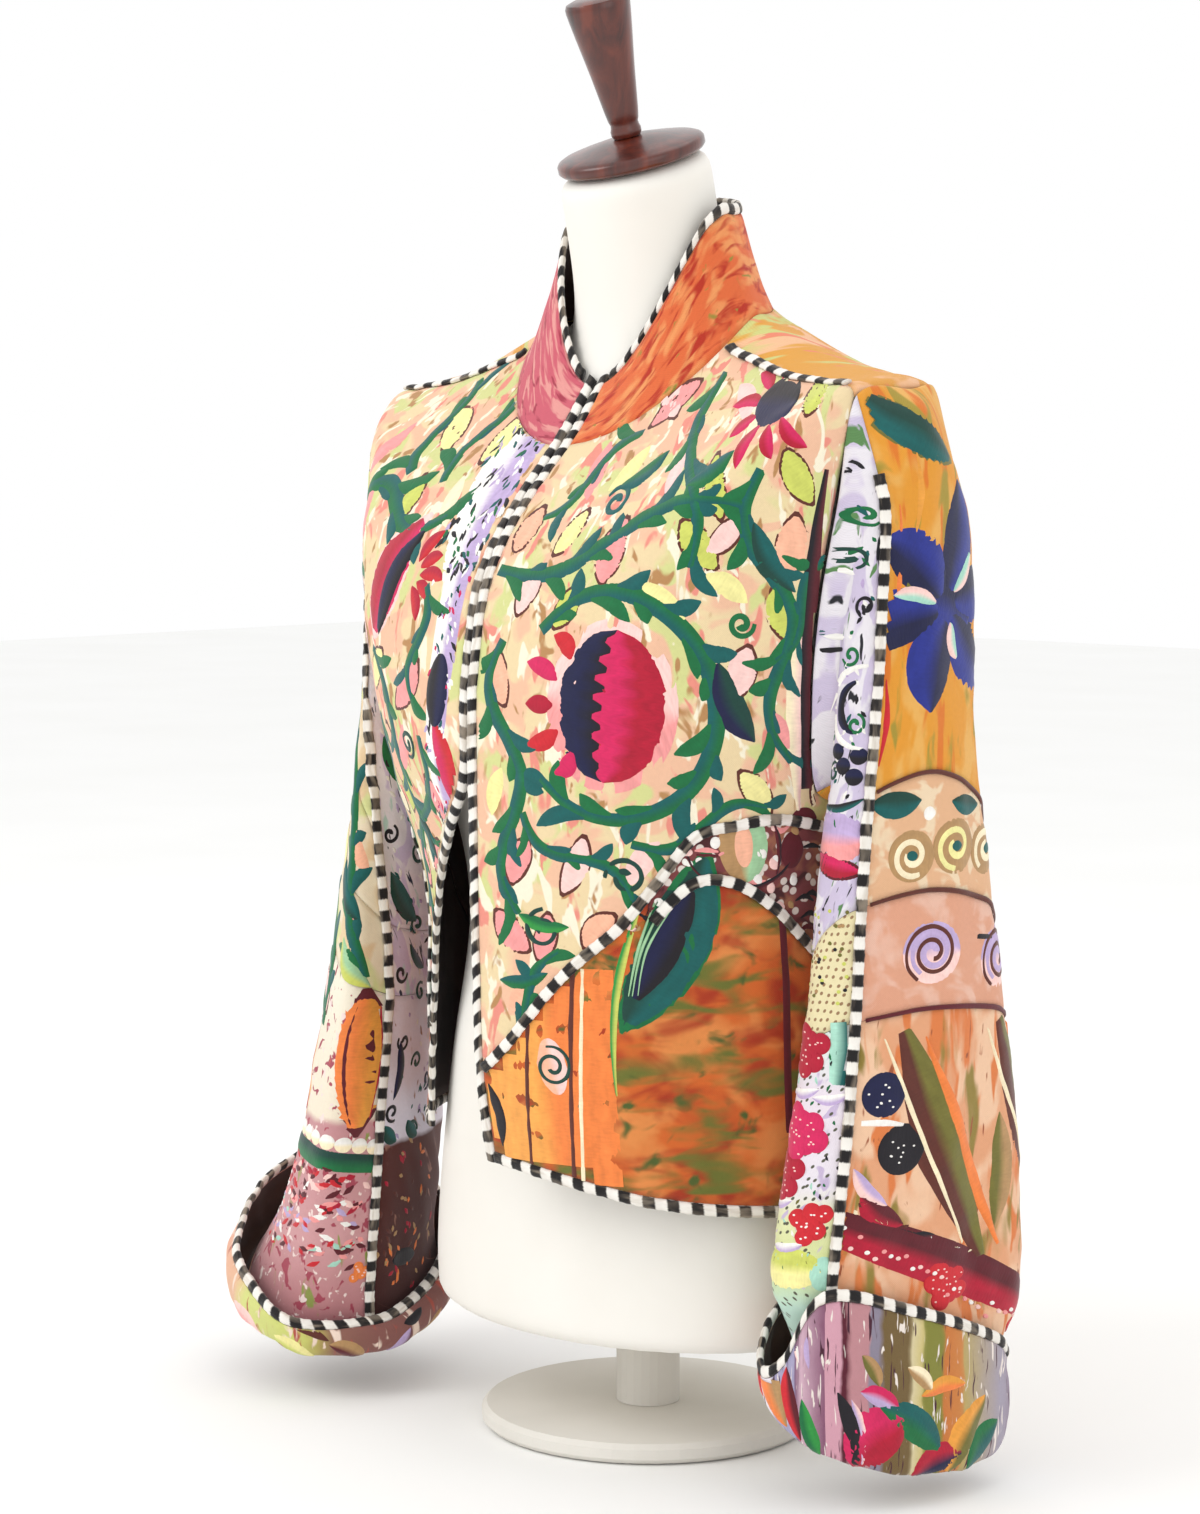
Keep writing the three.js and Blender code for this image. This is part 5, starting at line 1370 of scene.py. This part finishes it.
# ---- The sleeves' cut ----
# Each sleeve is a wide tube of rings from the armhole to the cuff's fold: its outermost and innermost
# points and their heights seen from the front, its middle's y, its half depth, how far its front edge
# turns in, how much lower its front hangs, and how far the seams have wound round it.
sleeve_rings = {
    "left": np.array([
        [217, -6, 177, -243, -4, 49, 2, 0, 0], [225, -34, 178, -252, -3, 50, 4, 0, 0],
        [226, -84, 178, -264, -3, 50, 7, 0, 0], [226, -148, 177, -282, -4, 50, 10, 0, 0],
        [229, -214, 177, -306, -6, 54, 14, 0, 0], [234, -282, 178, -342, -8, 61, 17, 0, 0],
        [238, -350, 178, -386, -9, 65, 20, 2, 0], [241, -410, 177, -430, -11, 72, 20, 3, 0],
        [241, -466, 177, -474, -12, 79, 20, 0, 0], [238, -520, 178, -512, -13, 82, 20, -6, 0],
        [233, -568, 180, -542, -14, 67, 20, -10, 0], [231, -612, 178, -560, -20, 69, 20, -12, 0],
    ]),
    "right": np.array([
        [198, -6, 165, -243, -6, 50, 2, 0, 0], [204, -34, 166, -252, -8, 52, 5, 0, 8],
        [205, -84, 166, -264, -12, 54, 8, 0, 22], [205, -148, 165, -282, -18, 57, 12, 0, 42],
        [206, -214, 164, -306, -26, 60, 15, 0, 64], [210, -282, 164, -342, -33, 64, 18, 0, 82],
        [216, -346, 164, -382, -38, 66, 20, 2, 90], [224, -404, 166, -428, -42, 68, 20, 6, 92],
        [236, -454, 168, -476, -44, 71, 20, 10, 92], [252, -496, 171, -524, -44, 74, 20, 16, 92],
        [271, -530, 176, -562, -44, 70, 20, 22, 92], [289, -556, 172, -588, -46, 72, 20, 28, 92],
    ]),
}
# rows of each band, counted from the armhole
outer_bands = [
    ("upper", 0, 4, "sleeve_cloth"), ("scroll", 5, 5, "scroll_cloth"), ("spiral", 6, 6, "spiral_cloth"),
    ("lower", 7, 11, "lower_sleeve_cloth"),
]
strip_bands = [("upper", 0, 5, "strip_cloth"), ("middle", 6, 6, "strip_middle_cloth"),
    ("lower", 7, 11, "strip_lower_cloth")]
loop_angles = [45, 0, -45, -70, -95, -120, -145, -180, -215, -240, -265, -290]
strip_start, sleeve_steps = 8, 12


def sleeve_point(ring, angle, hand):
    outer, outer_rise, inner, inner_rise, middle_y, reach, turn, front_drop, twist = ring
    lean, half, round_ = math.radians(turn), (outer - inner) / 2, math.radians(angle + twist)
    out, forward = math.cos(round_), math.sin(round_)
    return np.array([
        hand * ((outer + inner) / 2 + half * out * math.cos(lean) - reach * forward * math.sin(lean)),
        middle_y - half * out * math.sin(lean) - reach * forward * math.cos(lean),
        shoulder_height + (outer_rise + inner_rise) / 2 + (outer_rise - inner_rise) / 2 * out - front_drop * forward,
    ])


def armhole_loop(hand):
    i, j = front_columns, front_columns + side_columns
    loop = [(c, shoulder_row) for c in range(i, j + 1)] + [(j, r) for r in range(shoulder_row + 1,
        underarm_row + 1)]
    loop += [(c, underarm_row) for c in range(j - 1, i - 1, -1)] + [(i, r) for r in range(underarm_row - 1,
        shoulder_row, -1)]
    return [((c if hand > 0 else 2 * half_columns - c) * fine_steps, r * fine_steps) for c, r in loop]


sleeve_creases = {
    "left": [(30, 40, 34, 200, 10, 1.6), (95, 60, 100, 240, 12, 2.2), (60, 230, 66, 420, 11, 2.4),
             (120, 250, 126, 520, 13, 2.6), (20, 380, 24, 600, 10, 2), (160, 300, 168, 560, 12, -2.4),
             (90, 430, 96, 600, 9, -2), (210, 260, 216, 560, 12, 2.2), (255, 280, 262, 560, 11, -2)],
    "right": [(30, 40, 34, 200, 10, 1.6), (95, 60, 100, 240, 12, 2.2), (60, 230, 66, 420, 11, 2.2),
              (120, 250, 126, 500, 13, 2.4), (20, 340, 24, 560, 10, 1.8), (160, 300, 168, 540, 12, -2.2),
              (210, 260, 216, 540, 12, 2), (255, 280, 262, 540, 11, -2)],
}
sleeves, sleeve_charts = {}, {}
for side, hand in (("left", 1), ("right", -1)):
    rings = sleeve_rings[side]
    coarse = np.zeros((len(rings) + 1, 12, 3))
    for k, (c, r) in enumerate(armhole_loop(hand)):
        coarse[0, k] = body["points"][r, c] * 1000 + body["normals"][r, c] * 2.9
        for row, ring in enumerate(rings):
            coarse[row + 1, k] = sleeve_point(ring, loop_angles[k], hand)
    net = fine_net(coarse, sleeve_steps, True, -hand)
    s = lengths_along(net["points"], 1, level=True)
    t = shoulder_height / 1000 - net["points"][..., 2]
    lines = np.arange(net["points"].shape[0])[:, None]
    calm = np.clip(lines / 18, 0, 1) * np.clip((net["points"].shape[0] - 1 - lines) / 10, 0, 1)
    height = (creases(s, t, sleeve_creases[side]) + puckers(s, t, 11 + hand, 0.35)) * calm
    height[:, -1] = height[:, 0]
    shaped(net, height)
    sleeves[side], sleeve_charts[side] = net, np.stack([s, t], -1)


# ---- The sleeves' pieces ----
# The outside is pieced in four bands and the front has a narrow strip in three lengths; one seam, piped,
# runs from the shoulder to the cuff between them.
amber_cotton = cotton("amber_cotton", "#e39a35", [
    ("blots", "#e8b05c", (0.02, 0.05), 0.52, 0.08),
    ("blots", "#dd7a2c", (0.010, 0.06), 0.60, 0.05),
    ("blots", "#a8923a", (0.014, 0.04), 0.62, 0.05),
])
scroll_cotton = cotton("scroll_cotton", "#e4b48c", [("blots", "#efd6b4", (0.016, 0.016), 0.55, 0.05)])
spiral_cotton = cotton("spiral_cotton", "#dfa285", [("blots", "#e9bba6", (0.02, 0.02), 0.55, 0.08)])
peach_cotton = cotton("peach_cotton", "#e3a47c", [
    ("blots", "#f0c6a4", (0.03, 0.05), 0.52, 0.08),
    ("blots", "#dd7f48", (0.012, 0.05), 0.58, 0.05),
    ("blots", "#94803e", (0.014, 0.05), 0.62, 0.06),
    ("blots", "#a0583a", (0.006, 0.02), 0.68, 0.03),
])
strip_cotton = cotton("strip_cotton", "#cfc3dc", [
    ("blots", "#e9e4ea", (0.016, 0.03), 0.52, 0.04),
    ("blots", "#2a2a30", (0.006, 0.020), 0.66, 0.02),
    ("blots", "#5f8a55", (0.007, 0.018), 0.68, 0.02),
])
strip_middle_cotton = cotton("strip_middle_cotton", "#e9ddb0",
    [("spots", "#9a7a5a", (0.005, 0.005), 0.18, 0.2)])
strip_lower_cotton = cotton("strip_lower_cotton", "#efe6e2", [
    ("bands", 1.0, -90, 0.345, 0.52, [
        (0.0, "#f1ede6"), (0.12, "#dfeae4"), (0.3, "#e8dce6"), (0.6, "#e9e2ea"), (0.72, "#e3e6b4"),
        (0.88, "#cdd88e"), (1.0, "#c4e2d2"),
    ], 0.01),
    ("blots", "#c7b6d4", (0.012, 0.02), 0.6, 0.03),
    ("spots", "#5a5a4a", (0.007, 0.007), 0.12, 0.8),
])
mauve_cotton = cotton("mauve_cotton", "#f3ead6", [
    ("blots", "#e6cfa4", (0.02, 0.03), 0.56, 0.05), ("blots", "#a9ae62", (0.010, 0.04), 0.62, 0.04),
    ("bands", 1.0, -90, 0.36, 0.60,
    [(0.0, "#f3ead6"), (0.40, "#efe2cc"), (0.42, "#c58f92"), (0.75, "#cf9a9c"), (1.0, "#b8787c")], 0.006),
    ("blots", "#8f9a50", (0.010, 0.03), 0.66, 0.03), ("blots", "#a84a5a", (0.008, 0.010), 0.62, 0.02),
    ("blots", "#f1dcd6", (0.006, 0.008), 0.64, 0.02),
])
stem_cotton = cotton("stem_cotton", "#efe0c4", [
    ("blots", "#e6c9a0", (0.03, 0.03), 0.55, 0.06), ("blots", "#d9dc9a", (0.03, 0.04), 0.6, 0.04),
])
pale_strip_cotton = cotton("pale_strip_cotton", "#f4f0f8", [
    ("blots", "#dccfec", (0.016, 0.03), 0.54, 0.04),
    ("blots", "#c4e4dc", (0.010, 0.03), 0.64, 0.04),
    ("blots", "#26304a", (0.005, 0.016), 0.66, 0.02),
])
# the right strip's last length: pale above, then dark brown below the hem, the dark brown being painted shade of the
# sleeve's inner side turning away
strip_end_painted_shade_cotton = cotton("strip_end_painted_shade_cotton", "#f4f0f8", [
    ("bands", 1.0, -90, 0.40, 0.60,
    [(0.0, "#efe9f6"), (0.37, "#efe9f6"), (0.39, "#5a2a24"), (0.8, "#4a2320"), (1.0, "#3a1c1c")], 0.004),
    ("blots", "#a07060", (0.01, 0.02), 0.66, 0.03),
])
band_cottons = {
    "left": {"upper": amber_cotton, "scroll": scroll_cotton, "spiral": spiral_cotton, "lower": peach_cotton},
    "right": {"upper": stem_cotton, "scroll": stem_cotton, "spiral": stem_cotton, "lower": mauve_cotton},
}
strip_cottons = {
    "left": {"upper": strip_cotton, "middle": strip_middle_cotton, "lower": strip_lower_cotton},
    "right": {"upper": pale_strip_cotton, "middle": pale_strip_cotton, "lower": strip_end_painted_shade_cotton},
}
# ---- The sleeves' motifs ----
# On the left sleeve's outside: a large dark palmette on amber, rings on the scroll band, one lilac coil,
# berries and a spotted band over the cuff. The right sleeve carries stems, a long orange pod and flecks.
def seam_line(chart, row, first, last):
    return [tuple(chart[row, c] * 1000) for c in range(first, last + 1, 4)]


motifs_sleeve, motifs_strip = {}, {}
sleeve_rows, outer_columns, strip_columns = (2, 143), (1, 95), (97, 143)
net, chart = sleeves["left"], sleeve_charts["left"]
work = new_work()
leaf(work, (-2, -4), (52, 36), 24, "deep", 0.05, "teal", rise=0.15, edge="olive")
disc(work, (47, 119), (27, 24), "navy", 20, 0.05, 0.2, "blue")
rosette(work, (47, 119), 6, 74, 34, range(-80, 280, 60), "navy", "blue")
rosette(work, (47, 119), 10, 40, 10, range(-50, 310, 120), "mint", "pale", 0.7)
for x, y, long, hue in [(10, 60, 70, "orange"), (22, 30, 50, "amber"), (6, 160, 50, "red"),
    (64, 60, 40, "orange"), (100, 40, 80, "orange"), (120, 120, 70, "amber"),
                        (140, 60, 90, "orange"), (16, 90, 40, "olive"), (88, 40, 40, "olive"),
                        (160, 130, 60, "orange")]:
    stroke(work, [(x, y), (x + 2, y + long / 2), (x - 1, y + long)], [0.8, 4.5, 0.8], hue, 0.0, 0.12)
for row in (60, 72, 84):
    stroke(work, seam_line(chart, row, 2, 96), [2.2, 3, 3, 2.6], "brown" if row < 84 else "maroon", 0.25, 0.5)
for centre, radius, hue in [((30, 262), 12, "cream"), ((60, 258), 13, "yellow"), ((90, 262), 12, "cream"),
    ((120, 264), 12, "yellow"), ((150, 270), 12, "cream")]:
    disc(work, centre, (radius + 3, radius + 3), "tan", rise=0.05)
    curl(work, centre, radius, 1.4, 30 + centre[0], 5.2, hue, 1, rise=0.3)
    disc(work, centre, (3.5, 3.5), "teal", rise=0.5)
for base, tip, wide in [((2, 232), (34, 230), 16), ((56, 232), (82, 236), 12), ((108, 238), (136, 244), 12)]:
    leaf(work, base, tip, wide, "deep", 0.05, "teal", rise=0.3)
disc(work, (40, 238), (4, 4), "white", rise=0.5)
for centre in ((46, 318), (104, 326)):
    disc(work, centre, (19, 18), "lilac", rise=0.05, lift=0.2, second="pale")
    curl(work, centre, 18, 1.9, 120, 3.2, "brown", 1, rise=0.3)
    curl(work, centre, 14, 1.6, 120, 4.6, "lilac", 1, rise=0.35)
stroke(work, [(82, 312), (98, 314)], [3, 3], "black", 0.25)
for dx in (0, 74, 148):
    stroke(work, sway(30 + dx, 362, 100 + dx, 500, 3, 0.5), [8, 27, 36, 24, 6], "olive", 0.3, 0.25, "brown",
        10)
    stroke(work, sway(44 + dx, 366, 112 + dx, 494, 2, 0.5), [1, 9, 10, 2], "orange", 0.55)
    stroke(work, sway(18 + dx, 366, 84 + dx, 490, 2, 0.5), [1, 4, 4, 1], "cream", 0.6)
    leaf(work, (108 + dx, 484), (106 + dx, 416), 17, "olive", 0.05, "tan", rise=0.1)
berries(work, (20, 398), 13, 1, "navy", 1)
berries(work, (34, 430), 15, 1, "black", 2)
stroke(work, [(34, 416), (22, 414), (8, 414)], [2, 4, 3], "white", 0.3)
leaf(work, (6, 440), (28, 462), 9, "lilac", 0.1, "pale", rise=0.2)
leaf(work, (12, 456), (40, 474), 16, "maroon", 0.12, "crimson", rise=0.2)
leaf(work, (36, 476), (62, 482), 7, "black", 0.1, "maroon", rise=0.2)
stroke(work, sway(1, 474, 200, 568, -7, 0.5), [20, 26, 28, 27, 24, 20, 16], "maroon", 0.3, 0.3, "crimson", 8)
berries(work, (72, 512), 16, 9, "red", 3, "pale")
berries(work, (132, 548), 10, 7, "red", 4, "pale")
draw = np.random.default_rng(8)
for x in range(4, 150, 5):
    at = (x, 474 + 0.55 * x + draw.uniform(-7, 7))
    disc(work, at, (1.6, 1.5), ("pale", "white", "pink")[x % 3], rise=0.7)
flecks(work, [(10, 462), (60, 488), (110, 516)], 14, 46, ["white", "cream", "tan", "brown"], 9, 6)
motifs_sleeve["left"] = laid_work("motifs_sleeve_left", work, net, chart, (*sleeve_rows, *outer_columns))

# The strip is drawn from the piping backwards.
strip_chart = chart.copy()
strip_chart[..., 0] -= chart[:, -1:, 0]
work = new_work()
for k, (x, y) in enumerate([(-12, 40), (-8, 66), (-16, 90), (-10, 118), (-18, 146), (-30, 96), (-34, 160),
    (-12, 186), (-26, 214)]):
    curl(work, (x, y), 6.5, 1.2, 40 * k, 2.2, ("black", "green", "deep")[k % 3], 1 if k % 2 else -1)
flecks(work, [(-22, 30), (-24, 120), (-24, 240)], 36, 110,
    ["black", "green", "white", "teal", "white", "lilac"], 14, 6)
stroke(work, wreath((-6, 176), (26, 24), 270, 90), [2, 4.5, 5, 4.5, 2], "white", 0.3, 0.3)
stroke(work, wreath((-6, 176), (18, 16), 250, 110), [2, 6, 7, 2], "black", 0.25, second="navy")
for x, y in ((-8, 204), (-18, 210), (-10, 216), (-24, 202)):
    disc(work, (x, y), (5.5, 5), "navy", rise=0.25, second="black")
leaf(work, (-34, 234), (-2, 228), 5, "black", 0.1, "teal", rise=0.2)
disc(work, (-22, 252), (22, 16), "lilac", rise=0.05, second="pink")
leaf(work, (-36, 262), (-1, 270), 13, "magenta", 0.05, "crimson", rise=0.3, edge="maroon")
draw = np.random.default_rng(17)
for _ in range(70):
    at = (draw.uniform(-64, -2), draw.uniform(292, 348))
    disc(work, at, (1.1, 1.1), ("olive", "tan", "lime", "black")[draw.integers(4)], rise=0.1, lift=0.12)
stroke(work, [(-8, 356), (-7, 370), (-8, 392)], [12, 13, 9], "teal", 0.15, 0.25, "mint")
berries(work, (-27, 374), 15, 8, "crimson", 5, "pale")
berries(work, (-28, 420), 17, 10, "magenta", 6, "pale")
berries(work, (-36, 446), 15, 8, "crimson", 7, "pale")
berries(work, (-16, 470), 13, 7, "red", 8, "white")
for x, y in ((-30, 398), (-12, 400), (-40, 462), (-30, 486)):
    leaf(work, (x - 10, y), (x + 12, y - 3), 6, "white", 0.1, "lilac", rise=0.2)
disc(work, (-26, 498), (20, 12), "lime", rise=0.1, second="yellow")
disc(work, (-6, 500), (7, 10), "mint", rise=0.12)
flecks(work, [(-20, 360), (-20, 500)], 40, 60, ["green", "black", "white", "mint", "olive"], 15, 4)
motifs_strip["left"] = laid_work("motifs_strip_left", work, net, strip_chart, (*sleeve_rows, *strip_columns))

net, chart = sleeves["right"], sleeve_charts["right"]
work = new_work()
for x0, y0, x1, y1, wide, hue in [(20, 330, 30, 296, 13, "pink"), (44, 300, 54, 270, 12, "yellow"),
    (8, 300, 16, 270, 11, "peach"), (70, 330, 80, 298, 12, "pink"),
                                  (40, 246, 50, 214, 13, "pink"), (30, 220, 42, 188, 12, "pink"),
                                  (50, 150, 60, 116, 12, "pink"), (30, 100, 40, 70, 12, "yellow"),
                                  (54, 392, 64, 362, 12, "pale"), (100, 390, 110, 356, 12, "pink")]:
    leaf(work, (x0, y0), (x1, y1), wide, hue, 0.1 * math.sin(x0), lift=0.12,
        edge="brown" if wide > 11 else None)
vines(work, swayed([
    (6, 17, 366, 30, 60, 6, 2), (6, 58, 400, 68, 96, -6, 2), (6, 108, 410, 104, 304, 4),
    (6, 149, 406, 149, 366, 3, 0.5),
]))
leaf(work, (18, 330), (30, 292), 14, "teal", 0.1, "deep", rise=0.4)
for dx in (0, 66, 132):
    leaf(work, (16 + dx, 374), (17 + dx, 468), 42, "orange", 0.0, "amber", rise=0.35, lift=0.4, edge="maroon")
    stroke(work, [(6 + dx, 384), (3 + dx, 420), (8 + dx, 458)], [1, 3.4, 1], "crimson", 0.5)
    leaf(work, (14 + dx, 372), (30 + dx, 340), 12, "sage", 0.2, "lime", rise=0.3)
for k in range(17):
    at = 3 + k * 10.5
    disc(work, (at, 477 - at * 0.15), (5.4, 5), "white", rise=0.2, second="cream")
stroke(work, sway(1, 488, 176, 458, 2, 0.5), [12, 13, 13, 12, 11], "deep", 0.2, 0.4, "green")
flecks(work, [(4, 506), (60, 500), (150, 486)], 28, 120,
    ["red", "crimson", "pale", "white", "maroon", "pink"], 19, 10)
flecks(work, [(4, 538), (60, 534), (150, 520)], 34, 100, ["lilac", "pink", "red", "white", "maroon", "mint"],
    20, 9)
berries(work, (8, 560), 8, 5, "orange", 21, "pale")
motifs_sleeve["right"] = laid_work("motifs_sleeve_right", work, net, chart, (*sleeve_rows, *outer_columns))

strip_chart = chart.copy()
strip_chart[..., 0] -= chart[:, -1:, 0]
work = new_work()
for k in range(26):
    curl(work, (-14 - 20 * (k % 3) - 4 * math.sin(k), 96 + 15 * k), 6.5, 1.1, 50 * k, 2.4,
        ("black", "deep", "navy")[k % 3], 1 if k % 2 else -1)
flecks(work, [(-34, 60), (-40, 260), (-44, 470)], 60, 150, ["black", "white", "white", "lilac", "teal"], 23,
    6)
sprigs(work, [(-32, 334, -10, 300, 17, "teal", "deep"), (-56, 292, -34, 256, 17, "green", "teal"),
    (-36, 246, -12, 214, 17, "teal", "green"),
              (-60, 210, -40, 176, 16, "green", "deep"), (-14, 410, -10, 448, 8, "navy", "black"),
              (-40, 366, -22, 348, 8, "navy", "deep")])
for x in (-16, -40):
    leaf(work, (x, 476), (x + 12, 464), 10, "teal", 0.1, "deep", rise=0.3)
flecks(work, [(-10, 490), (-40, 530), (-30, 580)], 70, 70, ["brown", "crimson", "tan", "orange"], 24, 7)
disc(work, (-30, 556), (12, 6), "black", rise=0.2)
motifs_strip["right"] = laid_work("motifs_strip_right", work, net, strip_chart,
    (*sleeve_rows, *strip_columns))

for side, hand in (("left", 1), ("right", -1)):
    net, chart = sleeves[side], sleeve_charts[side]
    rows = np.arange(sleeve_steps, len(net["points"]))
    seam_piping(f"trim_sleeve_{side}", net, rows, 0, f"piping_sleeve_{side}", (0.002, 0.004), 0.0022)
    for band, first, last_row, slot in outer_bands:
        cells = cell_block(0, strip_start - 1, first, last_row)
        name = f"sleeve_{side}_outer_{band}"
        piece = panel(f"cloth_{name}", net, cells, chart, [band_cottons[side][band], lining], name)
    for band, first, last_row, slot in strip_bands:
        cells = cell_block(strip_start, 11, first, last_row)
        name = f"sleeve_{side}_front_{band}"
        piece = panel(f"cloth_{name}", net, cells, chart, [strip_cottons[side][band], lining], name)


# ---- The cuffs ----
# A deep band of striped cotton turned up round the end of each sleeve, bound along its free edge. The left
# one is cut down to its fold at the front.
cuff_rows = {
    "left": [(0, 0, -2.5, 0), (5, 5, -9, 0), (11, 10, -5, 0), (12, 12, -1, 0.35), (12, 12, 0, 0.7),
    (12, 12, 0, 1)],
    "right": [(0, 0, -2.5, 0), (7, 6, -9, 0), (14, 12, -5, 0), (14, 15, 0, 0.5), (8, 15, 0, 1)],
}
cuff_edge = {
    "left": [80, 83, 61, 39, 24, 23, 27, 31, 27, 16, 9, 30],
    "right": [9, 9, 16, 22, 27, 30, 30, 26, 20, 16, 12, 9],
}
left_cuff_cotton = cotton("left_cuff_cotton", "#a8848e", [
    ("bands", 1.0, 0, 0.0, 0.445, [
        (0.0, "#d6a0b0"), (0.02, "#d6a0b0"), (0.022, "#5c2030"), (0.03, "#5c2030"), (0.032, "#c08a90"),
        (0.06, "#c08a90"), (0.062, "#8f8798"), (0.076, "#8f8798"),
        (0.08, "#75603c"), (0.12, "#75603c"), (0.125, "#d8cba0"), (0.14, "#d0c080"), (0.145, "#84843a"),
        (0.175, "#84843a"), (0.18, "#c9783c"), (0.21, "#cc8448"),
        (0.215, "#b9a468"), (0.3, "#a79fb0"), (0.42, "#7b5674"), (0.55, "#d48c93"), (0.66, "#9a8a48"),
        (0.78, "#e0b8a0"), (0.8, "#f0e4e0"), (0.805, "#c2663c"),
        (0.845, "#c2663c"), (0.85, "#efe6ec"), (0.872, "#efe6ec"), (0.876, "#aaa4c4"), (0.93, "#aaa4c4"),
        (0.935, "#7b5674"), (0.955, "#d8b4c4"), (1.0, "#8a5a74"),
    ], 0.006),
    ("blots", "#4a2434", (0.003, 0.03), 0.64, 0.02),
    ("blots", "#f1e6de", (0.004, 0.02), 0.64, 0.02),
])
right_cuff_cotton = cotton("right_cuff_cotton", "#e3a98c", [
    ("bands", 1.0, 0, 0.0, 0.37, [
        (0.0, "#8a5a54"), (0.07, "#8f6558"), (0.1, "#b8a860"), (0.13, "#cfd476"), (0.26, "#d6da88"),
        (0.3, "#e6b898"), (0.5, "#e3a08a"), (0.7, "#dcb0a0"),
        (0.8, "#b57a78"), (1.0, "#8a5a54"),
    ], 0.01),
    ("blots", "#b4574a", (0.006, 0.03), 0.64, 0.04),
    ("blots", "#f3dccb", (0.008, 0.02), 0.62, 0.04),
])
cuff_patches = {
    "outer": [
        (14, 10, 52, 46, 30, "crimson", "magenta"), (34, 50, 78, 26, 22, "green", "teal"),
        (22, 56, 48, 50, 13, "lilac", "magenta"), (8, 52, 18, 8, 12, "black", None),
        (16, 50, 22, 12, 8, "lilac", "pale"), (84, 10, 116, 52, 20, "olive", "amber"),
        (56, 10, 96, 24, 20, "navy", "crimson"), (52, 76, 70, 62, 10, "tan", "cream"),
        (22, 78, 34, 62, 10, "olive", "tan"), (100, 12, 130, 34, 18, "teal", "green"),
        (62, 60, 96, 64, 10, "orange", "amber"),
    ],
    "strip": [
        (-3, 10, -20, 40, 17, "bright", "green"), (-24, 14, -42, 52, 21, "maroon", "red"),
        (-44, 16, -66, 54, 24, "tan", "orange"), (-66, 18, -94, 52, 20, "red", "orange"),
        (-24, 60, -30, 78, 7, "white", "pale"), (-52, 58, -56, 78, 7, "maroon", None),
        (-12, 60, -14, 78, 6, "lilac", None), (-94, 20, -124, 40, 18, "peach", "tan"),
    ],
}
turned_patches = {
    "outer": [(8, 14, 30, 30, 12, "maroon", "tan"), (40, 12, 66, 28, 12, "lime", "yellow"),
    (80, 10, 110, 30, 14, "pink", "pale"), (30, 34, 50, 44, 6, "brown", None)],
    "strip": [(-8, 14, -24, 34, 12, "lilac", "maroon"), (-34, 12, -60, 30, 12, "tan", "pink"),
    (-20, 40, -40, 44, 6, "black", None)],
}
cuff_creases = [
    (2, 56, 60, 52, 6, -2.4), (60, 52, 120, 60, 6, -2.0), (8, 60, 6, 100, 4, 1.4),
    (30, 60, 32, 100, 4, -1.4), (16, 20, 20, 78, 5, 1.6), (44, 26, 40, 76, 6, 1.8),
    (70, 20, 78, 70, 6, -1.6), (100, 16, 96, 60, 7, 1.8),
    (340, 24, 336, 78, 5, 1.8), (318, 24, 322, 78, 5, -1.6), (296, 50, 362, 54, 5, -1.6),
    (300, 20, 306, 70, 6, 1.8), (150, 12, 156, 40, 7, 1.6), (210, 10, 204, 30, 7, -1.4),
]
for side, hand in (("left", 1), ("right", -1)):
    end = sleeve_rings[side][-1]
    coarse = np.zeros((len(cuff_rows[side]), 12, 3))
    for row, (wider, deeper, up, share) in enumerate(cuff_rows[side]):
        ring = end + [wider, 0, -wider, 0, 0, deeper, 0, 0, 0]
        for k in range(12):
            coarse[row, k] = sleeve_point(ring, loop_angles[k], hand)
            coarse[row, k, 2] += up + share * cuff_edge[side][k]
    net = fine_net(coarse, sleeve_steps, True, hand)
    s = lengths_along(net["points"], 1)[-1:] * np.ones((len(net["points"]), 1))
    t = lengths_along(net["points"], 0)
    bumps = puckers(s, t, 21 + hand, 0.3) * np.clip(t / 0.02, 0, 1)
    bumps += creases(s, t, cuff_creases) * np.clip(t / 0.01, 0, 1) * np.clip((t[-1] - t) / 0.012, 0, 1)
    bumps[:, -1] = bumps[:, 0]
    shaped(net, np.maximum(bumps, -0.0012))
    cells = cell_block(0, 11, 0, len(cuff_rows[side]) - 2)
    stuff = left_cuff_cotton if side == "left" else right_cuff_cotton
    piece = panel(f"cloth_cuff_{side}", net, cells, np.stack([s, t], -1), [stuff, lining], f"cuff_{side}")
    columns = np.arange(0, 12 * sleeve_steps)
    top = len(net["points"]) - 1
    binding = edge_binding(f"trim_cuff_{side}", net, top, columns, top - 3, columns, f"binding_cuff_{side}",
        loop=True)
    chart = np.stack([s, t], -1)
    rows = (int(0.9 * sleeve_steps), top - 4)
    for part, columns, first in (("outer", (1, 71), 0), ("strip", (73, 143), s[0, -1])):
        work = new_work()
        if side == "left":
            sprigs(work, cuff_patches[part])
        else:
            sprigs(work, [(x0, y0 * 0.7, x1, y1 * 0.7, wide, hue, second) for x0, y0, x1, y1, wide, hue,
                second in turned_patches[part]])
        laid_work(f"motifs_cuff_{side}_{part}", work, net, chart - [first, 0],
            (*rows, *columns))
